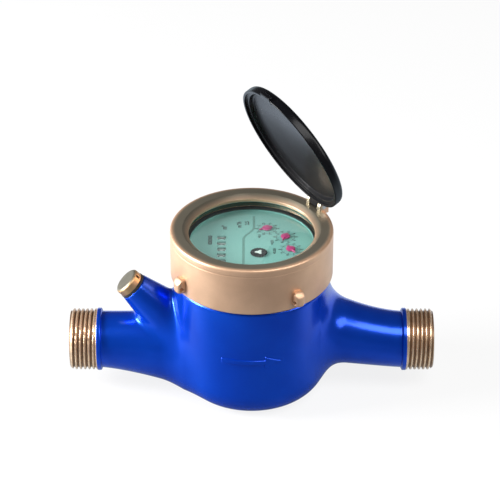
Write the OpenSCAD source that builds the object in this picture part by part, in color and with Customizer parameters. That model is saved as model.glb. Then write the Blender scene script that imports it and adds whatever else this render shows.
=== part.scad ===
// Domestic multi-jet dry-dial water meter with threaded pipe ends, a screwed head ring and a hinged lid.
// Millimetres. The origin is the centre of the flat base, X runs with the flow, Z is up.

/* [Connections] */
// Length of the meter between its two pipe ends
body_len = 195; // [185:1:225]
// Outside diameter of the pipe threads
thread_d = 33.25; // [31:0.25:38]
// Length of each pipe thread
thread_len = 14.5; // [12:0.5:18]
// Bore of the pipe ends
bore_d = 20; // [16:0.5:22]
// Height of the pipe axis over the base
axis_h = 26.5; // [26:0.5:30]
// Outside diameter of the necks beside the threads
neck_d = 30.5; // [28:0.5:31]

/* [Bowl] */
// Outside radius of the bowl at the head ring
bowl_r = 41.5; // [41:0.25:42.5]
// Radius of the flat face that the meter rests on
base_r = 24.5; // [24:0.5:26]
// Radius of the rounding between the base and the bowl's wall
corner_r = 16.5; // [14:0.5:17]
// Thickness of the bowl's floor
floor_t = 4; // [3:0.25:5]
// Radius of the bowl's hollow
hollow_r = 37; // [36:0.25:37.5]
// How far the regulator boss stands out from the bowl
boss_out = 21.5; // [19:0.5:24]
// Radius of the regulator boss at its outer end
boss_r = 8; // [7.4:0.1:9]
// Length of the flow arrow cast on the front
arrow_len = 32; // [20:1:36]

/* [Head ring] */
// Outside radius of the head ring
ring_r = 43; // [42.5:0.25:46]
// Height of the head ring
ring_h = 27; // [26.5:0.5:32]
// Height of the head ring's lower edge over the base
ring_z = 69.5; // [67:0.5:73]
// Radius of the opening over the glass
sight_r = 33.25; // [31:0.25:34]
// Angle of the hinge round the ring, from the flow direction
hinge_a = 33; // [20:1:50]
// Width of each of the four spanner lugs
lug_w = 6; // [4:0.5:9]
// How far the lugs stand out from the ring
lug_out = 4.2; // [3:0.2:6]

/* [Lid] */
// Outside radius of the lid
lid_r = 37.75; // [37.25:0.25:39]
// Height of the lid
lid_h = 5.75; // [5.5:0.25:8]
// Depth of the hollow under the lid
lid_deep = 3.75; // [3:0.25:4.25]
// How far the lid stands open
lid_open = 66.5; // [0:0.5:105]

/* [Register] */
// Thickness of the sight glass
glass_t = 4; // [3:0.25:4.5]
// Radius of the number drums
drum_r = 7; // [6.75:0.05:7.1]
// Distance of the drums' shaft from the meter's axis
drum_x = 15.9; // [15.4:0.1:16.2]
// Distance from one number drum to the next
drum_pitch = 5.8; // [5.7:0.05:5.9]
// Radius of the circle that the three pointers stand on
pointer_r = 20; // [19.8:0.1:20.3]
// Distance of the flow star from the meter's axis
star_r = 11.5; // [11.3:0.1:11.8]
// Length of a pointer from its arbor to its tip
pointer_len = 4.6; // [4:0.1:5]

/* [Measuring chamber] */
// Outside radius of the measuring chamber
chamber_r = 26.5; // [25.5:0.25:26.75]
// Number of jets in each row
jets = 8; // [6:1:10]
// Number of vanes on the impeller
vanes = 7; // [5:1:9]
// Radius of the impeller
impeller_r = 22; // [20:0.25:22.5]

/* [Hidden] */
$fn = 64;
// Pipe ends
thread_r = thread_d / 2;
bore_r = bore_d / 2;
end_x = body_len / 2;
thread_x = end_x - thread_len;
collar_w = 2;
collar_x = thread_x - collar_w;
neck_r = neck_d / 2;
// Bowl and head
shoulder_z = ring_z - 0.5;
// The ring's width is shared out between its own wall, the spigot's wall and the lip over the glass
rim_w = ring_r - sight_r;
spigot_r = ring_r - rim_w * 4 / 9.75;
spigot_z = ring_z + ring_h - 14;
pit_r = sight_r + rim_w * 2.35 / 9.75;
seat_z = ring_z - 10;
seat_r = pit_r - 3.1;
ring_top = ring_z + ring_h;
lip_t = 1.3;
cone_w = rim_w * 3.1 / 9.75;
lip_z = ring_top - lip_t - 2.1;
// Web between the inlet channel below and the outlet channel above
web_z = axis_h + 3;
web_t = 2.5;
web_top = web_z + web_t;
web_r = chamber_r + (seat_r - chamber_r) * 2.5 / 6;
// Regulator boss, 45 degrees up and back from the bowl
boss_tip = [-(bowl_r + boss_out), 0, axis_h + boss_out + 12.1];
boss_len = 30;
plug_r = boss_r - 0.5;
plug_bore = 5;
plug_deep = 7;
wire_r = 0.9;
wire_y = -2.2;
wire_z = 3.6;
// Stack under the head ring's lip
washer_t = 0.4;
glass_z = lip_z - washer_t - glass_t;
gasket_t = 0.8;
glass_r = pit_r;
cup_top = glass_z - gasket_t;
cup_r = pit_r - 0.4;
cup_in = cup_r - 3.4;
dial_r = cup_in + 0.8;
dial_t = 0.8;
dial_top = glass_z - 1.5;
dial_z = dial_top - dial_t;
// Stack over the seat in the body
seal_t = 1;
plate_z = seat_z + seal_t;
plate_t = 4;
cup_z = plate_z + plate_t;
cup_floor = 1.2;
floor_z = cup_z + cup_floor;
// Movement between the base plate and the dial
drum_z = dial_z - 0.3 - drum_r;
plate_top = drum_z - drum_r - 0.3;
movement_t = 1.2;
level_h = (dial_z - plate_top) / 9.125;
gear_t = level_h * 0.72;
pivot_r = 0.4;
shaft_r = 0.6;
fit = 0.05;
// Tooth counts from the spindle to the pointers, 216 turns to 10 litres
z_c = 8;
z_j = [48, 8];
z_s = [32, 11];
z_k0 = [33, 12];
z_p3 = [36, 10];
z_k = [40, 14];
z_p = [35, 10];
z_p1 = [35, 6];
z_a = 40;
z_b = [18, 9];
z_crown = 30;
// Arbor positions seen from above
c_at = [0, 0];
j_at = 7.06 * [cos(-28), sin(-28)];
s_at = star_r * [cos(-71), sin(-71)];
pointer_c = [0.6, -4.5];
k0_at = pointer_c + (pointer_r - 6.7) * [cos(-25.2), sin(-25.2)];
p3_at = pointer_c + pointer_r * [cos(-7), sin(-7)];
k1_at = pointer_c + (pointer_r - 6.1) * [cos(11.3), sin(11.3)];
p2_at = pointer_c + pointer_r * [cos(30.5), sin(30.5)];
k2_at = pointer_c + (pointer_r - 5.4) * [cos(48.5), sin(48.5)];
p1_at = pointer_c + pointer_r * [cos(68), sin(68)];
// Number drums, units first at the highest Y
drum_w = drum_pitch - 0.4;
drum_y0 = 5;
drum_end = drum_y0 + drum_w / 2;
cheek_t = 1.2;
cheek_y1 = drum_end + 0.3;
cheek_y0 = drum_y0 - 4 * drum_pitch - drum_w / 2 - 0.3 - cheek_t;
crown_y = cheek_y1 + cheek_t + 0.3;
crown_t = 1.2;
crown_tooth = 0.9;
crown_r = 5.2;
crown_m = 2 * crown_r / z_crown;
b_at = [-drum_x, crown_y + crown_t + crown_tooth / 2 + crown_m * z_b[1] / 2];
ab_d = norm(b_at - p1_at);
a_m = 1.02 * ab_d / ((z_p1[1] + z_a) / 2 + (z_a + z_b[0]) / 2);
a_d1 = a_m * (z_p1[1] + z_a) / 2;
a_d2 = a_m * (z_a + z_b[0]) / 2;
a_along = (a_d1 * a_d1 - a_d2 * a_d2 + ab_d * ab_d) / (2 * ab_d);
a_dir = (b_at - p1_at) / ab_d;
a_at = p1_at + a_along * a_dir + sqrt(a_d1 * a_d1 - a_along * a_along) * [a_dir[1], -a_dir[0]];
// Carry between number drums
carry_m = 0.6;
z_drum = 20;
z_carry = 8;
carry_x = -drum_x + carry_m * (z_drum + z_carry) / 2;
side_w = 0.65;
drum_shaft_r = 0.8;
// Flow star over the dial
star_teeth = 18;
star_out = 4.5;
// Wet side
strainer_r = web_r - 0.4;
flange_r = seat_r - 0.5;
flange_z = web_top + 1;
flange_t = 2.5;
slot_w = 1.6;
slot_z = floor_t + 5;
slot_h = web_z - slot_z - 2;
jet_w = 4.4;
jet_h = 6;
chamber_in = chamber_r - 2.2;
chamber_z = floor_t + 5.5;
cover_z = seat_z - 9;
impeller_z0 = chamber_z + 6;
impeller_z1 = flange_z + 6.5;
hub_r = 4;
pivot_h = 8.5;
pivot_tip = 0.6;
shield_r = 12;
shield_h = 3;
magnet_z = seat_z - 2;
magnet_top = plate_z + 1.4;
// Lid hinge
hinge_rho = lid_r + 4;
hinge_z = ring_top + 2.4;
ear_r = 3;
ear_t = 3;
ear_foot = 2;
knuckle_w = 6.6;
pin_r = 1.25;

// Outline of a spur gear with straight flanks and clear backlash
function gear_points(z, m) =
    let (rp = m * z / 2, ra = rp + 0.8 * m, rr = rp - 1.15 * m, p = 360 / z, hp = p * 0.19,
        ht = atan(0.11 * PI * m / ra), hr = hp * (1 + 0.3 * min(1, (z - 6) / 30)))
    [for (i = [0 : z - 1]) for (q = [[rr, -hr], [rp, -hp], [ra, -ht], [ra, ht], [rp, hp], [rr, hr]])
        q[0] * [cos(i * p + q[1]), sin(i * p + q[1])]];

// Direction and module of a meshing pair
function to(a, b) = atan2(b[1] - a[1], b[0] - a[0]);
function mesh_m(a, b, za, zb) = 2 * norm(b - a) / (za + zb);
// Phase that puts a gap of the driven wheel on the line to its driver
function gap(a, b, zb) = to(a, b) + 180 + 180 / zb;
function level(k) = plate_top + 0.4 * level_h / 1.6 + k * level_h;

// One gear of an arbor at a level
module gear(at, k, z, m, phase) {
    translate([at[0], at[1], level(k)])
        rotate(phase)
            linear_extrude(gear_t)
                polygon(gear_points(z, m));
}

// Steel pivot ends and moulded shaft of an arbor between the plates
module arbor(at) {
    translate([at[0], at[1], plate_top - movement_t])
        cylinder(h = dial_z + 0.5 - plate_top + movement_t, r = pivot_r);
    translate([at[0], at[1], plate_top + 0.15])
        cylinder(h = dial_z - plate_top - 0.3, r = shaft_r);
}

// The same, carried on through the dial for a pointer
module long_arbor(at) {
    arbor(at);
    translate([at[0], at[1], dial_z - 1])
        cylinder(h = dial_top + 1.2 - dial_z + 1, r = shaft_r);
}

// Elliptical sections of a cast neck, carried from the collar into the bowl
function neck_ring(side, t) =
    let (x = collar_x + 0.5 - t * (collar_x + 0.5 - 27),
        s = min(1, (collar_x + 0.5 - x) / (collar_x - 36)),
        cz = side < 0 ? axis_h - 5.5 * pow(s, 1.3) : axis_h + 10 * pow(s, 1.5),
        rz = neck_r + (side < 0 ? 5.7 : 5.2) * pow(s, side < 0 ? 1.3 : 1.9),
        ry = neck_r + (side < 0 ? 5 : 4) * pow(s, 2.2))
    [for (i = [0 : 39]) [side * x, ry * cos(i * 9), cz + rz * sin(i * 9)]];

module neck(side) {
    n = 15;
    pts = [for (k = [0 : n]) each neck_ring(side, k / n)];
    sides = [for (k = [0 : n - 1]) for (i = [0 : 39]) let (j = (i + 1) % 40)
        each [[k * 40 + i, k * 40 + j, k * 40 + 40 + j], [k * 40 + i, k * 40 + 40 + j, k * 40 + 40 + i]]];
    caps = [[for (i = [39 : -1 : 0]) i], [for (i = [0 : 39]) n * 40 + i]];
    raw = concat(sides, caps);
    faces = side > 0 ? raw : [for (f = raw) [for (i = [len(f) - 1 : -1 : 0]) f[i]]];
    polyhedron(points = pts, faces = faces);
}

module along_x(x, r, l) {
    translate([x, 0, axis_h])
        rotate([0, 90, 0])
            cylinder(h = l, r = r);
}

// A passage of round section between two points of the XZ plane
module passage(x0, z0, x1, z1, r) {
    translate([x0, 0, z0])
        rotate([0, atan2(x1 - x0, z1 - z0), 0])
            cylinder(h = norm([x1 - x0, z1 - z0]), r = r);
}

module at_boss() {
    translate(boss_tip)
        rotate([0, -45, 0])
            children();
}

// Casting: bowl, two necks with threaded ends, regulator boss, flow arrow and the channels inside
module body() {
    color("royalblue")
        difference() {
            union() {
                rotate_extrude()
                    union() {
                        square([base_r, shoulder_z]);
                        translate([base_r, corner_r])
                            circle(r = corner_r);
                        translate([0, corner_r])
                            polygon([[0, 0], [base_r + corner_r, 0], [bowl_r, shoulder_z - corner_r],
                                [0, shoulder_z - corner_r]]);
                        translate([0, corner_r])
                            square([spigot_r, spigot_z - corner_r]);
                    }
                neck(-1);
                neck(1);
                for (s = [-1, 1]) {
                    along_x(s > 0 ? collar_x : -end_x + thread_len, thread_r + 0.25, collar_w);
                    along_x(s > 0 ? thread_x : -end_x + 1, thread_r, thread_len - 1);
                }
                translate([end_x - 1, 0, axis_h])
                    rotate([0, 90, 0])
                        cylinder(h = 1, r1 = thread_r, r2 = thread_r - 1);
                translate([-end_x + 1, 0, axis_h])
                    rotate([0, -90, 0])
                        cylinder(h = 1, r1 = thread_r, r2 = thread_r - 1);
                at_boss()
                    translate([0, 0, -boss_len])
                        cylinder(h = boss_len, r1 = boss_r + 6.2, r2 = boss_r);
                intersection() {
                    translate([0, 0, axis_h + 12.3])
                        rotate([90, 0, 0])
                            linear_extrude(60)
                                flow_arrow();
                    cylinder(h = shoulder_z, r = bowl_r + 0.35);
                }
            }
            body_hollow();
        }
}

module flow_arrow() {
    polygon([[-arrow_len / 2, -1.4], [arrow_len / 2 - 9, -1.4], [arrow_len / 2 - 9, -3.6],
        [arrow_len / 2, 0], [arrow_len / 2 - 9, 3.6], [arrow_len / 2 - 9, 1.4], [-arrow_len / 2, 1.4]]);
}

module body_hollow() {
    rotate_extrude()
        polygon(concat([[0, floor_t]],
            [for (i = [0 : 6]) [hollow_r - 11 + 11 * sin(i * 15), floor_t + 11 - 11 * cos(i * 15)]],
            [[hollow_r, web_z], [web_r, web_z], [web_r, web_top], [hollow_r, web_top],
                [hollow_r, seat_z - 5.5], [seat_r, seat_z - 1], [seat_r, seat_z], [pit_r, seat_z],
                [pit_r, spigot_z + 1], [0, spigot_z + 1]]));
    along_x(-end_x - 1, bore_r, end_x - 55);
    along_x(56, bore_r, end_x - 55);
    passage(-58, axis_h, -30, axis_h - 9.5, bore_r - 0.5);
    passage(58, axis_h, 30, axis_h + 18, bore_r - 0.5);
    at_boss() {
        translate([0, 0, -plug_deep])
            cylinder(h = plug_deep + 1, r = plug_bore);
        translate([0, 0, -boss_len - 6])
            cylinder(h = boss_len, r = 3);
    }
    translate([boss_tip[0] + 2 * plug_deep, 0, axis_h])
        cylinder(h = boss_tip[2] - 2 * plug_deep - axis_h, r = 2.2);
}

// Perforated basket round the jets
module strainer() {
    color("whitesmoke")
        difference() {
            translate([0, 0, floor_t + 1.5])
                cylinder(h = flange_z - floor_t - 1.5, r = strainer_r);
            translate([0, 0, floor_t + 2.7])
                cylinder(h = flange_z, r = strainer_r - 1.1);
            for (i = [0 : 29])
                rotate(i * 12)
                    translate([strainer_r - 1.5 * slot_w, -slot_w / 2, slot_z])
                        cube([2.5 * slot_w, slot_w, slot_h]);
        }
}

module chamber_gasket() {
    color("dimgray")
        difference() {
            translate([0, 0, web_top])
                cylinder(h = flange_z - web_top, r = flange_r);
            translate([0, 0, web_top - 1])
                cylinder(h = 4, r = web_r + 0.2);
        }
}

// Slanted jets through the chamber's wall
module jet_row(z, turn) {
    for (i = [0 : jets - 1])
        rotate(i * 360 / jets)
            translate([chamber_in * 0.78, 0, z])
                rotate(turn)
                    translate([0, -jet_w / 2, 0])
                        cube([chamber_r, jet_w, jet_h]);
}

module measuring_chamber() {
    color("ivory")
        difference() {
            union() {
                translate([0, 0, chamber_z])
                    cylinder(h = cover_z - chamber_z, r = chamber_r);
                translate([0, 0, flange_z])
                    cylinder(h = flange_t, r = flange_r);
            }
            translate([0, 0, chamber_z + 2])
                cylinder(h = cover_z, r = chamber_in);
            translate([0, 0, chamber_z - 1])
                cylinder(h = 4, r = 1);
            jet_row(chamber_z + 7, 42);
            jet_row(flange_z + flange_t + 2, -42);
        }
}

// Hard steel pin in the chamber's floor that carries the impeller
module pivot_pin() {
    color("silver")
        translate([0, 0, chamber_z]) {
            cylinder(h = pivot_h, r = 1);
            translate([0, 0, pivot_h])
                cylinder(h = pivot_tip, r1 = 1, r2 = 0.3);
        }
}

module impeller() {
    color("white")
        difference() {
            union() {
                translate([0, 0, impeller_z0])
                    cylinder(h = impeller_z1 - impeller_z0, r = hub_r);
                translate([0, 0, impeller_z1 - 1])
                    cylinder(h = magnet_top - impeller_z1 + 1, r = 1.5);
                for (i = [0 : vanes - 1])
                    rotate(i * 360 / vanes)
                        translate([hub_r - 1, -0.7, impeller_z0 + 0.5])
                            cube([impeller_r - hub_r + 1, 1.4, impeller_z1 - impeller_z0 - 4]);
            }
            translate([0, 0, impeller_z0 - 1])
                cylinder(h = chamber_z + pivot_h + 0.7 - impeller_z0 + 1, r = 1 + fit);
        }
}

module chamber_cover() {
    color("ivory")
        difference() {
            union() {
                translate([0, 0, cover_z])
                    cylinder(h = 2.5, r = chamber_r);
                translate([0, 0, cover_z - 3])
                    cylinder(h = 4, r = chamber_in - 0.2);
            }
            translate([0, 0, cover_z - 4])
                cylinder(h = 3, r = chamber_in - 2);
            translate([0, 0, cover_z - 2])
                cylinder(h = 8, r = 3);
        }
}

module top_bush() {
    color("goldenrod")
        difference() {
            translate([0, 0, cover_z - 1])
                cylinder(h = 3.5, r = 3);
            translate([0, 0, cover_z - 2])
                cylinder(h = 8, r = 1.5 + fit);
        }
}

// Ring magnet on the impeller's shaft
module drive_magnet() {
    color("dimgray")
        difference() {
            translate([0, 0, magnet_z])
                cylinder(h = magnet_top - magnet_z, r = 7.5);
            translate([0, 0, magnet_z - 1])
                cylinder(h = 10, r = 1.5);
        }
}

module plate_seal() {
    color("black")
        difference() {
            translate([0, 0, seat_z])
                cylinder(h = seal_t, r = pit_r - 0.4);
            translate([0, 0, seat_z - 1])
                cylinder(h = 4, r = seat_r + 0.2);
        }
}

// Plate that holds the water pressure and parts the wet side from the register
module pressure_plate() {
    color("goldenrod")
        difference() {
            translate([0, 0, plate_z])
                cylinder(h = plate_t, r = pit_r - 0.2);
            translate([0, 0, plate_z - 1])
                cylinder(h = 3, r = 9);
        }
}

module register_cup() {
    color("whitesmoke")
        difference() {
            translate([0, 0, cup_z])
                cylinder(h = cup_top - cup_z, r = cup_r);
            translate([0, 0, floor_z])
                cylinder(h = cup_top, r = cup_in - 1);
            translate([0, 0, plate_top - movement_t])
                cylinder(h = cup_top, r = cup_in);
            translate([0, 0, dial_z])
                cylinder(h = cup_top, r = dial_r + 0.1);
            translate([0, 0, cup_z + 0.5])
                cylinder(h = 4, r = pivot_r + fit);
        }
}

// Soft iron ring that keeps outside magnets off the coupling
module shield_ring() {
    color("gray")
        difference() {
            translate([0, 0, floor_z])
                cylinder(h = shield_h, r = shield_r);
            translate([0, 0, floor_z - 1])
                cylinder(h = 2 * shield_h, r = shield_r - 1.5);
        }
}

module spindle() {
    color("silver") {
        translate([0, 0, cup_z + 0.6])
            cylinder(h = dial_z + 0.5 - cup_z - 0.6, r = pivot_r);
        translate([0, 0, floor_z + 0.2])
            cylinder(h = plate_top - movement_t - floor_z - 0.35, r = shaft_r);
        translate([0, 0, plate_top + 0.15])
            cylinder(h = dial_z - plate_top - 0.3, r = shaft_r);
        gear(c_at, 1, z_c, mesh_m(c_at, j_at, z_c, z_j[0]), to(c_at, j_at));
    }
}

module driven_magnet() {
    color("dimgray")
        difference() {
            translate([0, 0, floor_z + 0.5])
                cylinder(h = 2.6, r = 7.5);
            translate([0, 0, floor_z])
                cylinder(h = 6, r = shaft_r);
        }
}

// Moulded plate with the two cheeks that carry the number drums
module base_plate() {
    color("gainsboro")
        difference() {
            union() {
                translate([0, 0, plate_top - movement_t])
                    cylinder(h = movement_t, r = cup_in - 0.1);
                for (y = [cheek_y0, cheek_y1])
                    translate([-drum_x - 3.2, y, plate_top - 0.5])
                        cube([carry_x + drum_x + 5.2, cheek_t, drum_z - plate_top + 3.7]);
            }
            for (p = [c_at, j_at, s_at, k0_at, p3_at, k1_at, p2_at, k2_at, p1_at, a_at, b_at])
                translate([p[0], p[1], plate_top - movement_t - 1])
                    cylinder(h = movement_t + 2, r = pivot_r + fit);
            translate([-drum_x, cheek_y1 - 1, drum_z])
                rotate([-90, 0, 0])
                    cylinder(h = cheek_t + 2, r = 1.8 + fit);
            translate([-drum_x, cheek_y0 - 1, drum_z])
                rotate([-90, 0, 0])
                    cylinder(h = cheek_t + 2, r = drum_shaft_r);
            for (y = [cheek_y0, cheek_y1])
                translate([carry_x, y - 1, drum_z])
                    rotate([-90, 0, 0])
                        cylinder(h = cheek_t + 2, r = shaft_r);
        }
}

module arbor_j() {
    color("white") {
        arbor(j_at);
        gear(j_at, 1, z_j[0], mesh_m(c_at, j_at, z_c, z_j[0]), gap(c_at, j_at, z_j[0]));
        gear(j_at, 0, z_j[1], mesh_m(j_at, s_at, z_j[1], z_s[0]), to(j_at, s_at));
    }
}

module arbor_star() {
    color("white") {
        long_arbor(s_at);
        gear(s_at, 0, z_s[0], mesh_m(j_at, s_at, z_j[1], z_s[0]), gap(j_at, s_at, z_s[0]));
        gear(s_at, 2, z_s[1], mesh_m(s_at, k0_at, z_s[1], z_k0[0]), to(s_at, k0_at));
    }
}

module arbor_k0() {
    color("white") {
        arbor(k0_at);
        gear(k0_at, 2, z_k0[0], mesh_m(s_at, k0_at, z_s[1], z_k0[0]), gap(s_at, k0_at, z_k0[0]));
        gear(k0_at, 3, z_k0[1], mesh_m(k0_at, p3_at, z_k0[1], z_p3[0]), to(k0_at, p3_at));
    }
}

module arbor_p3() {
    color("white") {
        long_arbor(p3_at);
        gear(p3_at, 3, z_p3[0], mesh_m(k0_at, p3_at, z_k0[1], z_p3[0]), gap(k0_at, p3_at, z_p3[0]));
        gear(p3_at, 4, z_p3[1], mesh_m(p3_at, k1_at, z_p3[1], z_k[0]), to(p3_at, k1_at));
    }
}

module arbor_k1() {
    color("white") {
        arbor(k1_at);
        gear(k1_at, 4, z_k[0], mesh_m(p3_at, k1_at, z_p3[1], z_k[0]), gap(p3_at, k1_at, z_k[0]));
        gear(k1_at, 5, z_k[1], mesh_m(k1_at, p2_at, z_k[1], z_p[0]), to(k1_at, p2_at));
    }
}

module arbor_p2() {
    color("white") {
        long_arbor(p2_at);
        gear(p2_at, 5, z_p[0], mesh_m(k1_at, p2_at, z_k[1], z_p[0]), gap(k1_at, p2_at, z_p[0]));
        gear(p2_at, 6, z_p[1], mesh_m(p2_at, k2_at, z_p[1], z_k[0]), to(p2_at, k2_at));
    }
}

module arbor_k2() {
    color("white") {
        arbor(k2_at);
        gear(k2_at, 6, z_k[0], mesh_m(p2_at, k2_at, z_p[1], z_k[0]), gap(p2_at, k2_at, z_k[0]));
        gear(k2_at, 7, z_k[1], mesh_m(k2_at, p1_at, z_k[1], z_p1[0]), to(k2_at, p1_at));
    }
}

module arbor_p1() {
    color("white") {
        long_arbor(p1_at);
        gear(p1_at, 7, z_p1[0], mesh_m(k2_at, p1_at, z_k[1], z_p1[0]), gap(k2_at, p1_at, z_p1[0]));
        gear(p1_at, 8, z_p1[1], a_m, to(p1_at, a_at));
    }
}

a_phase = gap(p1_at, a_at, z_a);
b_phase = gap(a_at, b_at, z_b[0]) - (a_phase - to(a_at, b_at)) * z_a / z_b[0];

module count_idler() {
    color("white") {
        arbor(a_at);
        gear(a_at, 8, z_a, a_m, a_phase);
    }
}

// Upright arbor that turns the crown wheel of the units drum
module count_drive() {
    color("white") {
        arbor(b_at);
        gear(b_at, 8, z_b[0], a_m, b_phase);
        translate([b_at[0], b_at[1], drum_z - crown_r - 0.6])
            rotate(-90)
                linear_extrude(1.2)
                    polygon(gear_points(z_b[1], crown_m));
    }
}

module drum_shaft() {
    color("silver")
        translate([-drum_x, cheek_y0, drum_z])
            rotate([-90, 0, 0])
                cylinder(h = crown_y + crown_t - cheek_y0, r = drum_shaft_r);
}

module carry_shaft() {
    color("silver")
        translate([carry_x, cheek_y0, drum_z])
            rotate([-90, 0, 0])
                cylinder(h = cheek_y1 + cheek_t - cheek_y0, r = shaft_r);
}

// Number drum: figure rim, tooth ring towards the next lower drum, carry ring on the other face
module drum(k, toothed, carries) {
    color("white")
        translate([-drum_x, drum_y0 - k * drum_pitch, drum_z])
            rotate([-90, 0, 0])
                difference() {
                    union() {
                        translate([0, 0, -drum_w / 2 + side_w])
                            cylinder(h = drum_w - 2 * side_w, r = drum_r);
                        translate([0, 0, drum_w / 2 - side_w - 0.1])
                            linear_extrude(side_w + 0.1)
                                if (toothed)
                                    rotate(180 / z_drum)
                                        polygon(gear_points(z_drum, carry_m));
                                else
                                    circle(r = 6.3);
                        translate([0, 0, -drum_w / 2])
                            cylinder(h = side_w + 0.1, r = carries ? 5.9 : 6.3);
                    }
                    translate([0, 0, -drum_w])
                        cylinder(h = 2 * drum_w, r = drum_shaft_r + fit);
                }
}

module drum_units() {
    drum(0, false, true);
    color("white")
        translate([-drum_x, drum_end - 0.1, drum_z])
            rotate([-90, 0, 0])
                difference() {
                    cylinder(h = crown_y + crown_t - drum_end + 0.1, r = 1.8);
                    translate([0, 0, -1])
                        cylinder(h = 9, r = drum_shaft_r + fit);
                }
}

module drum_tens() {
    drum(1, true, true);
}

module drum_hundreds() {
    drum(2, true, true);
}

module drum_thousands() {
    drum(3, true, true);
}

module drum_top() {
    drum(4, true, false);
}

// Crown wheel on the hub of the units drum
module count_crown() {
    color("white")
        translate([-drum_x, crown_y, drum_z])
            rotate([-90, 0, 0])
                difference() {
                    union() {
                        cylinder(h = crown_t, r = crown_r + 0.55);
                        for (i = [0 : z_crown - 1])
                            rotate(90 + (i + 0.5) * 360 / z_crown)
                                translate([crown_r - 0.8, -crown_m * 0.62, crown_t - 0.1])
                                    cube([1.3, crown_m * 1.24, crown_tooth + 0.1]);
                    }
                    translate([0, 0, -1])
                        cylinder(h = 9, r = 1.8);
                }
}

// Carry pinion between two drums: eight leaves, every other one reaching over the carry ring
module carry(k) {
    long = drum_pitch - drum_w + 2 * side_w - 0.2;
    color("white")
        translate([carry_x, drum_y0 - (k - 0.5) * drum_pitch - long / 2, drum_z])
            rotate([-90, 0, 0])
                difference() {
                    linear_extrude(long)
                        polygon(gear_points(z_carry, carry_m));
                    translate([0, 0, -1])
                        cylinder(h = 9, r = shaft_r + fit);
                    for (i = [0 : 3])
                        rotate(i * 90)
                            translate([1.75, -1, long - side_w])
                                cube([3, 2, 3]);
                }
}

module carry_1() {
    carry(1);
}

module carry_2() {
    carry(2);
}

module carry_3() {
    carry(3);
}

module carry_4() {
    carry(4);
}

// Dial with a window over each drum and holes for the pointers
module dial_plate() {
    color("honeydew")
        difference() {
            translate([0, 0, dial_z])
                cylinder(h = dial_t, r = dial_r);
            for (k = [0 : 4])
                translate([-drum_x - 2.3, drum_y0 - k * drum_pitch - 1.85, dial_z - 1])
                    cube([4.6, 3.7, 4]);
            for (p = [s_at, p3_at, p2_at, p1_at])
                translate([p[0], p[1], dial_z - 1])
                    cylinder(h = 4, r = shaft_r + fit);
            for (p = [c_at, j_at, k0_at, k1_at, k2_at, a_at, b_at])
                translate([p[0], p[1], dial_z - 1])
                    cylinder(h = 1.55, r = pivot_r + fit);
        }
}

// Toothed disc that shows the smallest flow
module star_disc() {
    color("black")
        difference() {
            translate([s_at[0], s_at[1], dial_top + 0.3])
                linear_extrude(0.6)
                    polygon([for (i = [0 : 2 * star_teeth - 1])
                        let (a = i * 180 / star_teeth)
                            (star_out - (i % 2) * 0.7) * [cos(a), sin(a)]]);
            translate([s_at[0], s_at[1], dial_top])
                cylinder(h = 4, r = shaft_r);
        }
}

module pointer(at, turn) {
    color("crimson")
        translate([at[0], at[1], dial_top + 0.3])
            rotate(turn)
                linear_extrude(0.7)
                    difference() {
                        union() {
                            circle(r = 2.1);
                            polygon([[-3, -0.7], [0, -1.2], [pointer_len, -0.15], [pointer_len, 0.15],
                                [0, 1.2], [-3, 0.7]]);
                        }
                        circle(r = shaft_r);
                    }
}

module pointer_1() {
    pointer(p1_at, 205);
}

module pointer_2() {
    pointer(p2_at, 250);
}

module pointer_3() {
    pointer(p3_at, 300);
}

module glass_gasket() {
    color("black")
        difference() {
            translate([0, 0, cup_top])
                cylinder(h = gasket_t, r = cup_r);
            translate([0, 0, cup_top - 1])
                cylinder(h = 4, r = dial_r + 0.2);
        }
}

module glass() {
    color("lightcyan", 0.4)
        translate([0, 0, glass_z])
            cylinder(h = glass_t, r = glass_r);
}

module slip_washer() {
    color("white")
        difference() {
            translate([0, 0, lip_z - washer_t])
                cylinder(h = washer_t, r = glass_r);
            translate([0, 0, lip_z - 2])
                cylinder(h = 4, r = sight_r + 0.4);
        }
}

module at_hinge() {
    rotate(hinge_a)
        translate([hinge_rho, 0, hinge_z])
            children();
}

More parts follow.
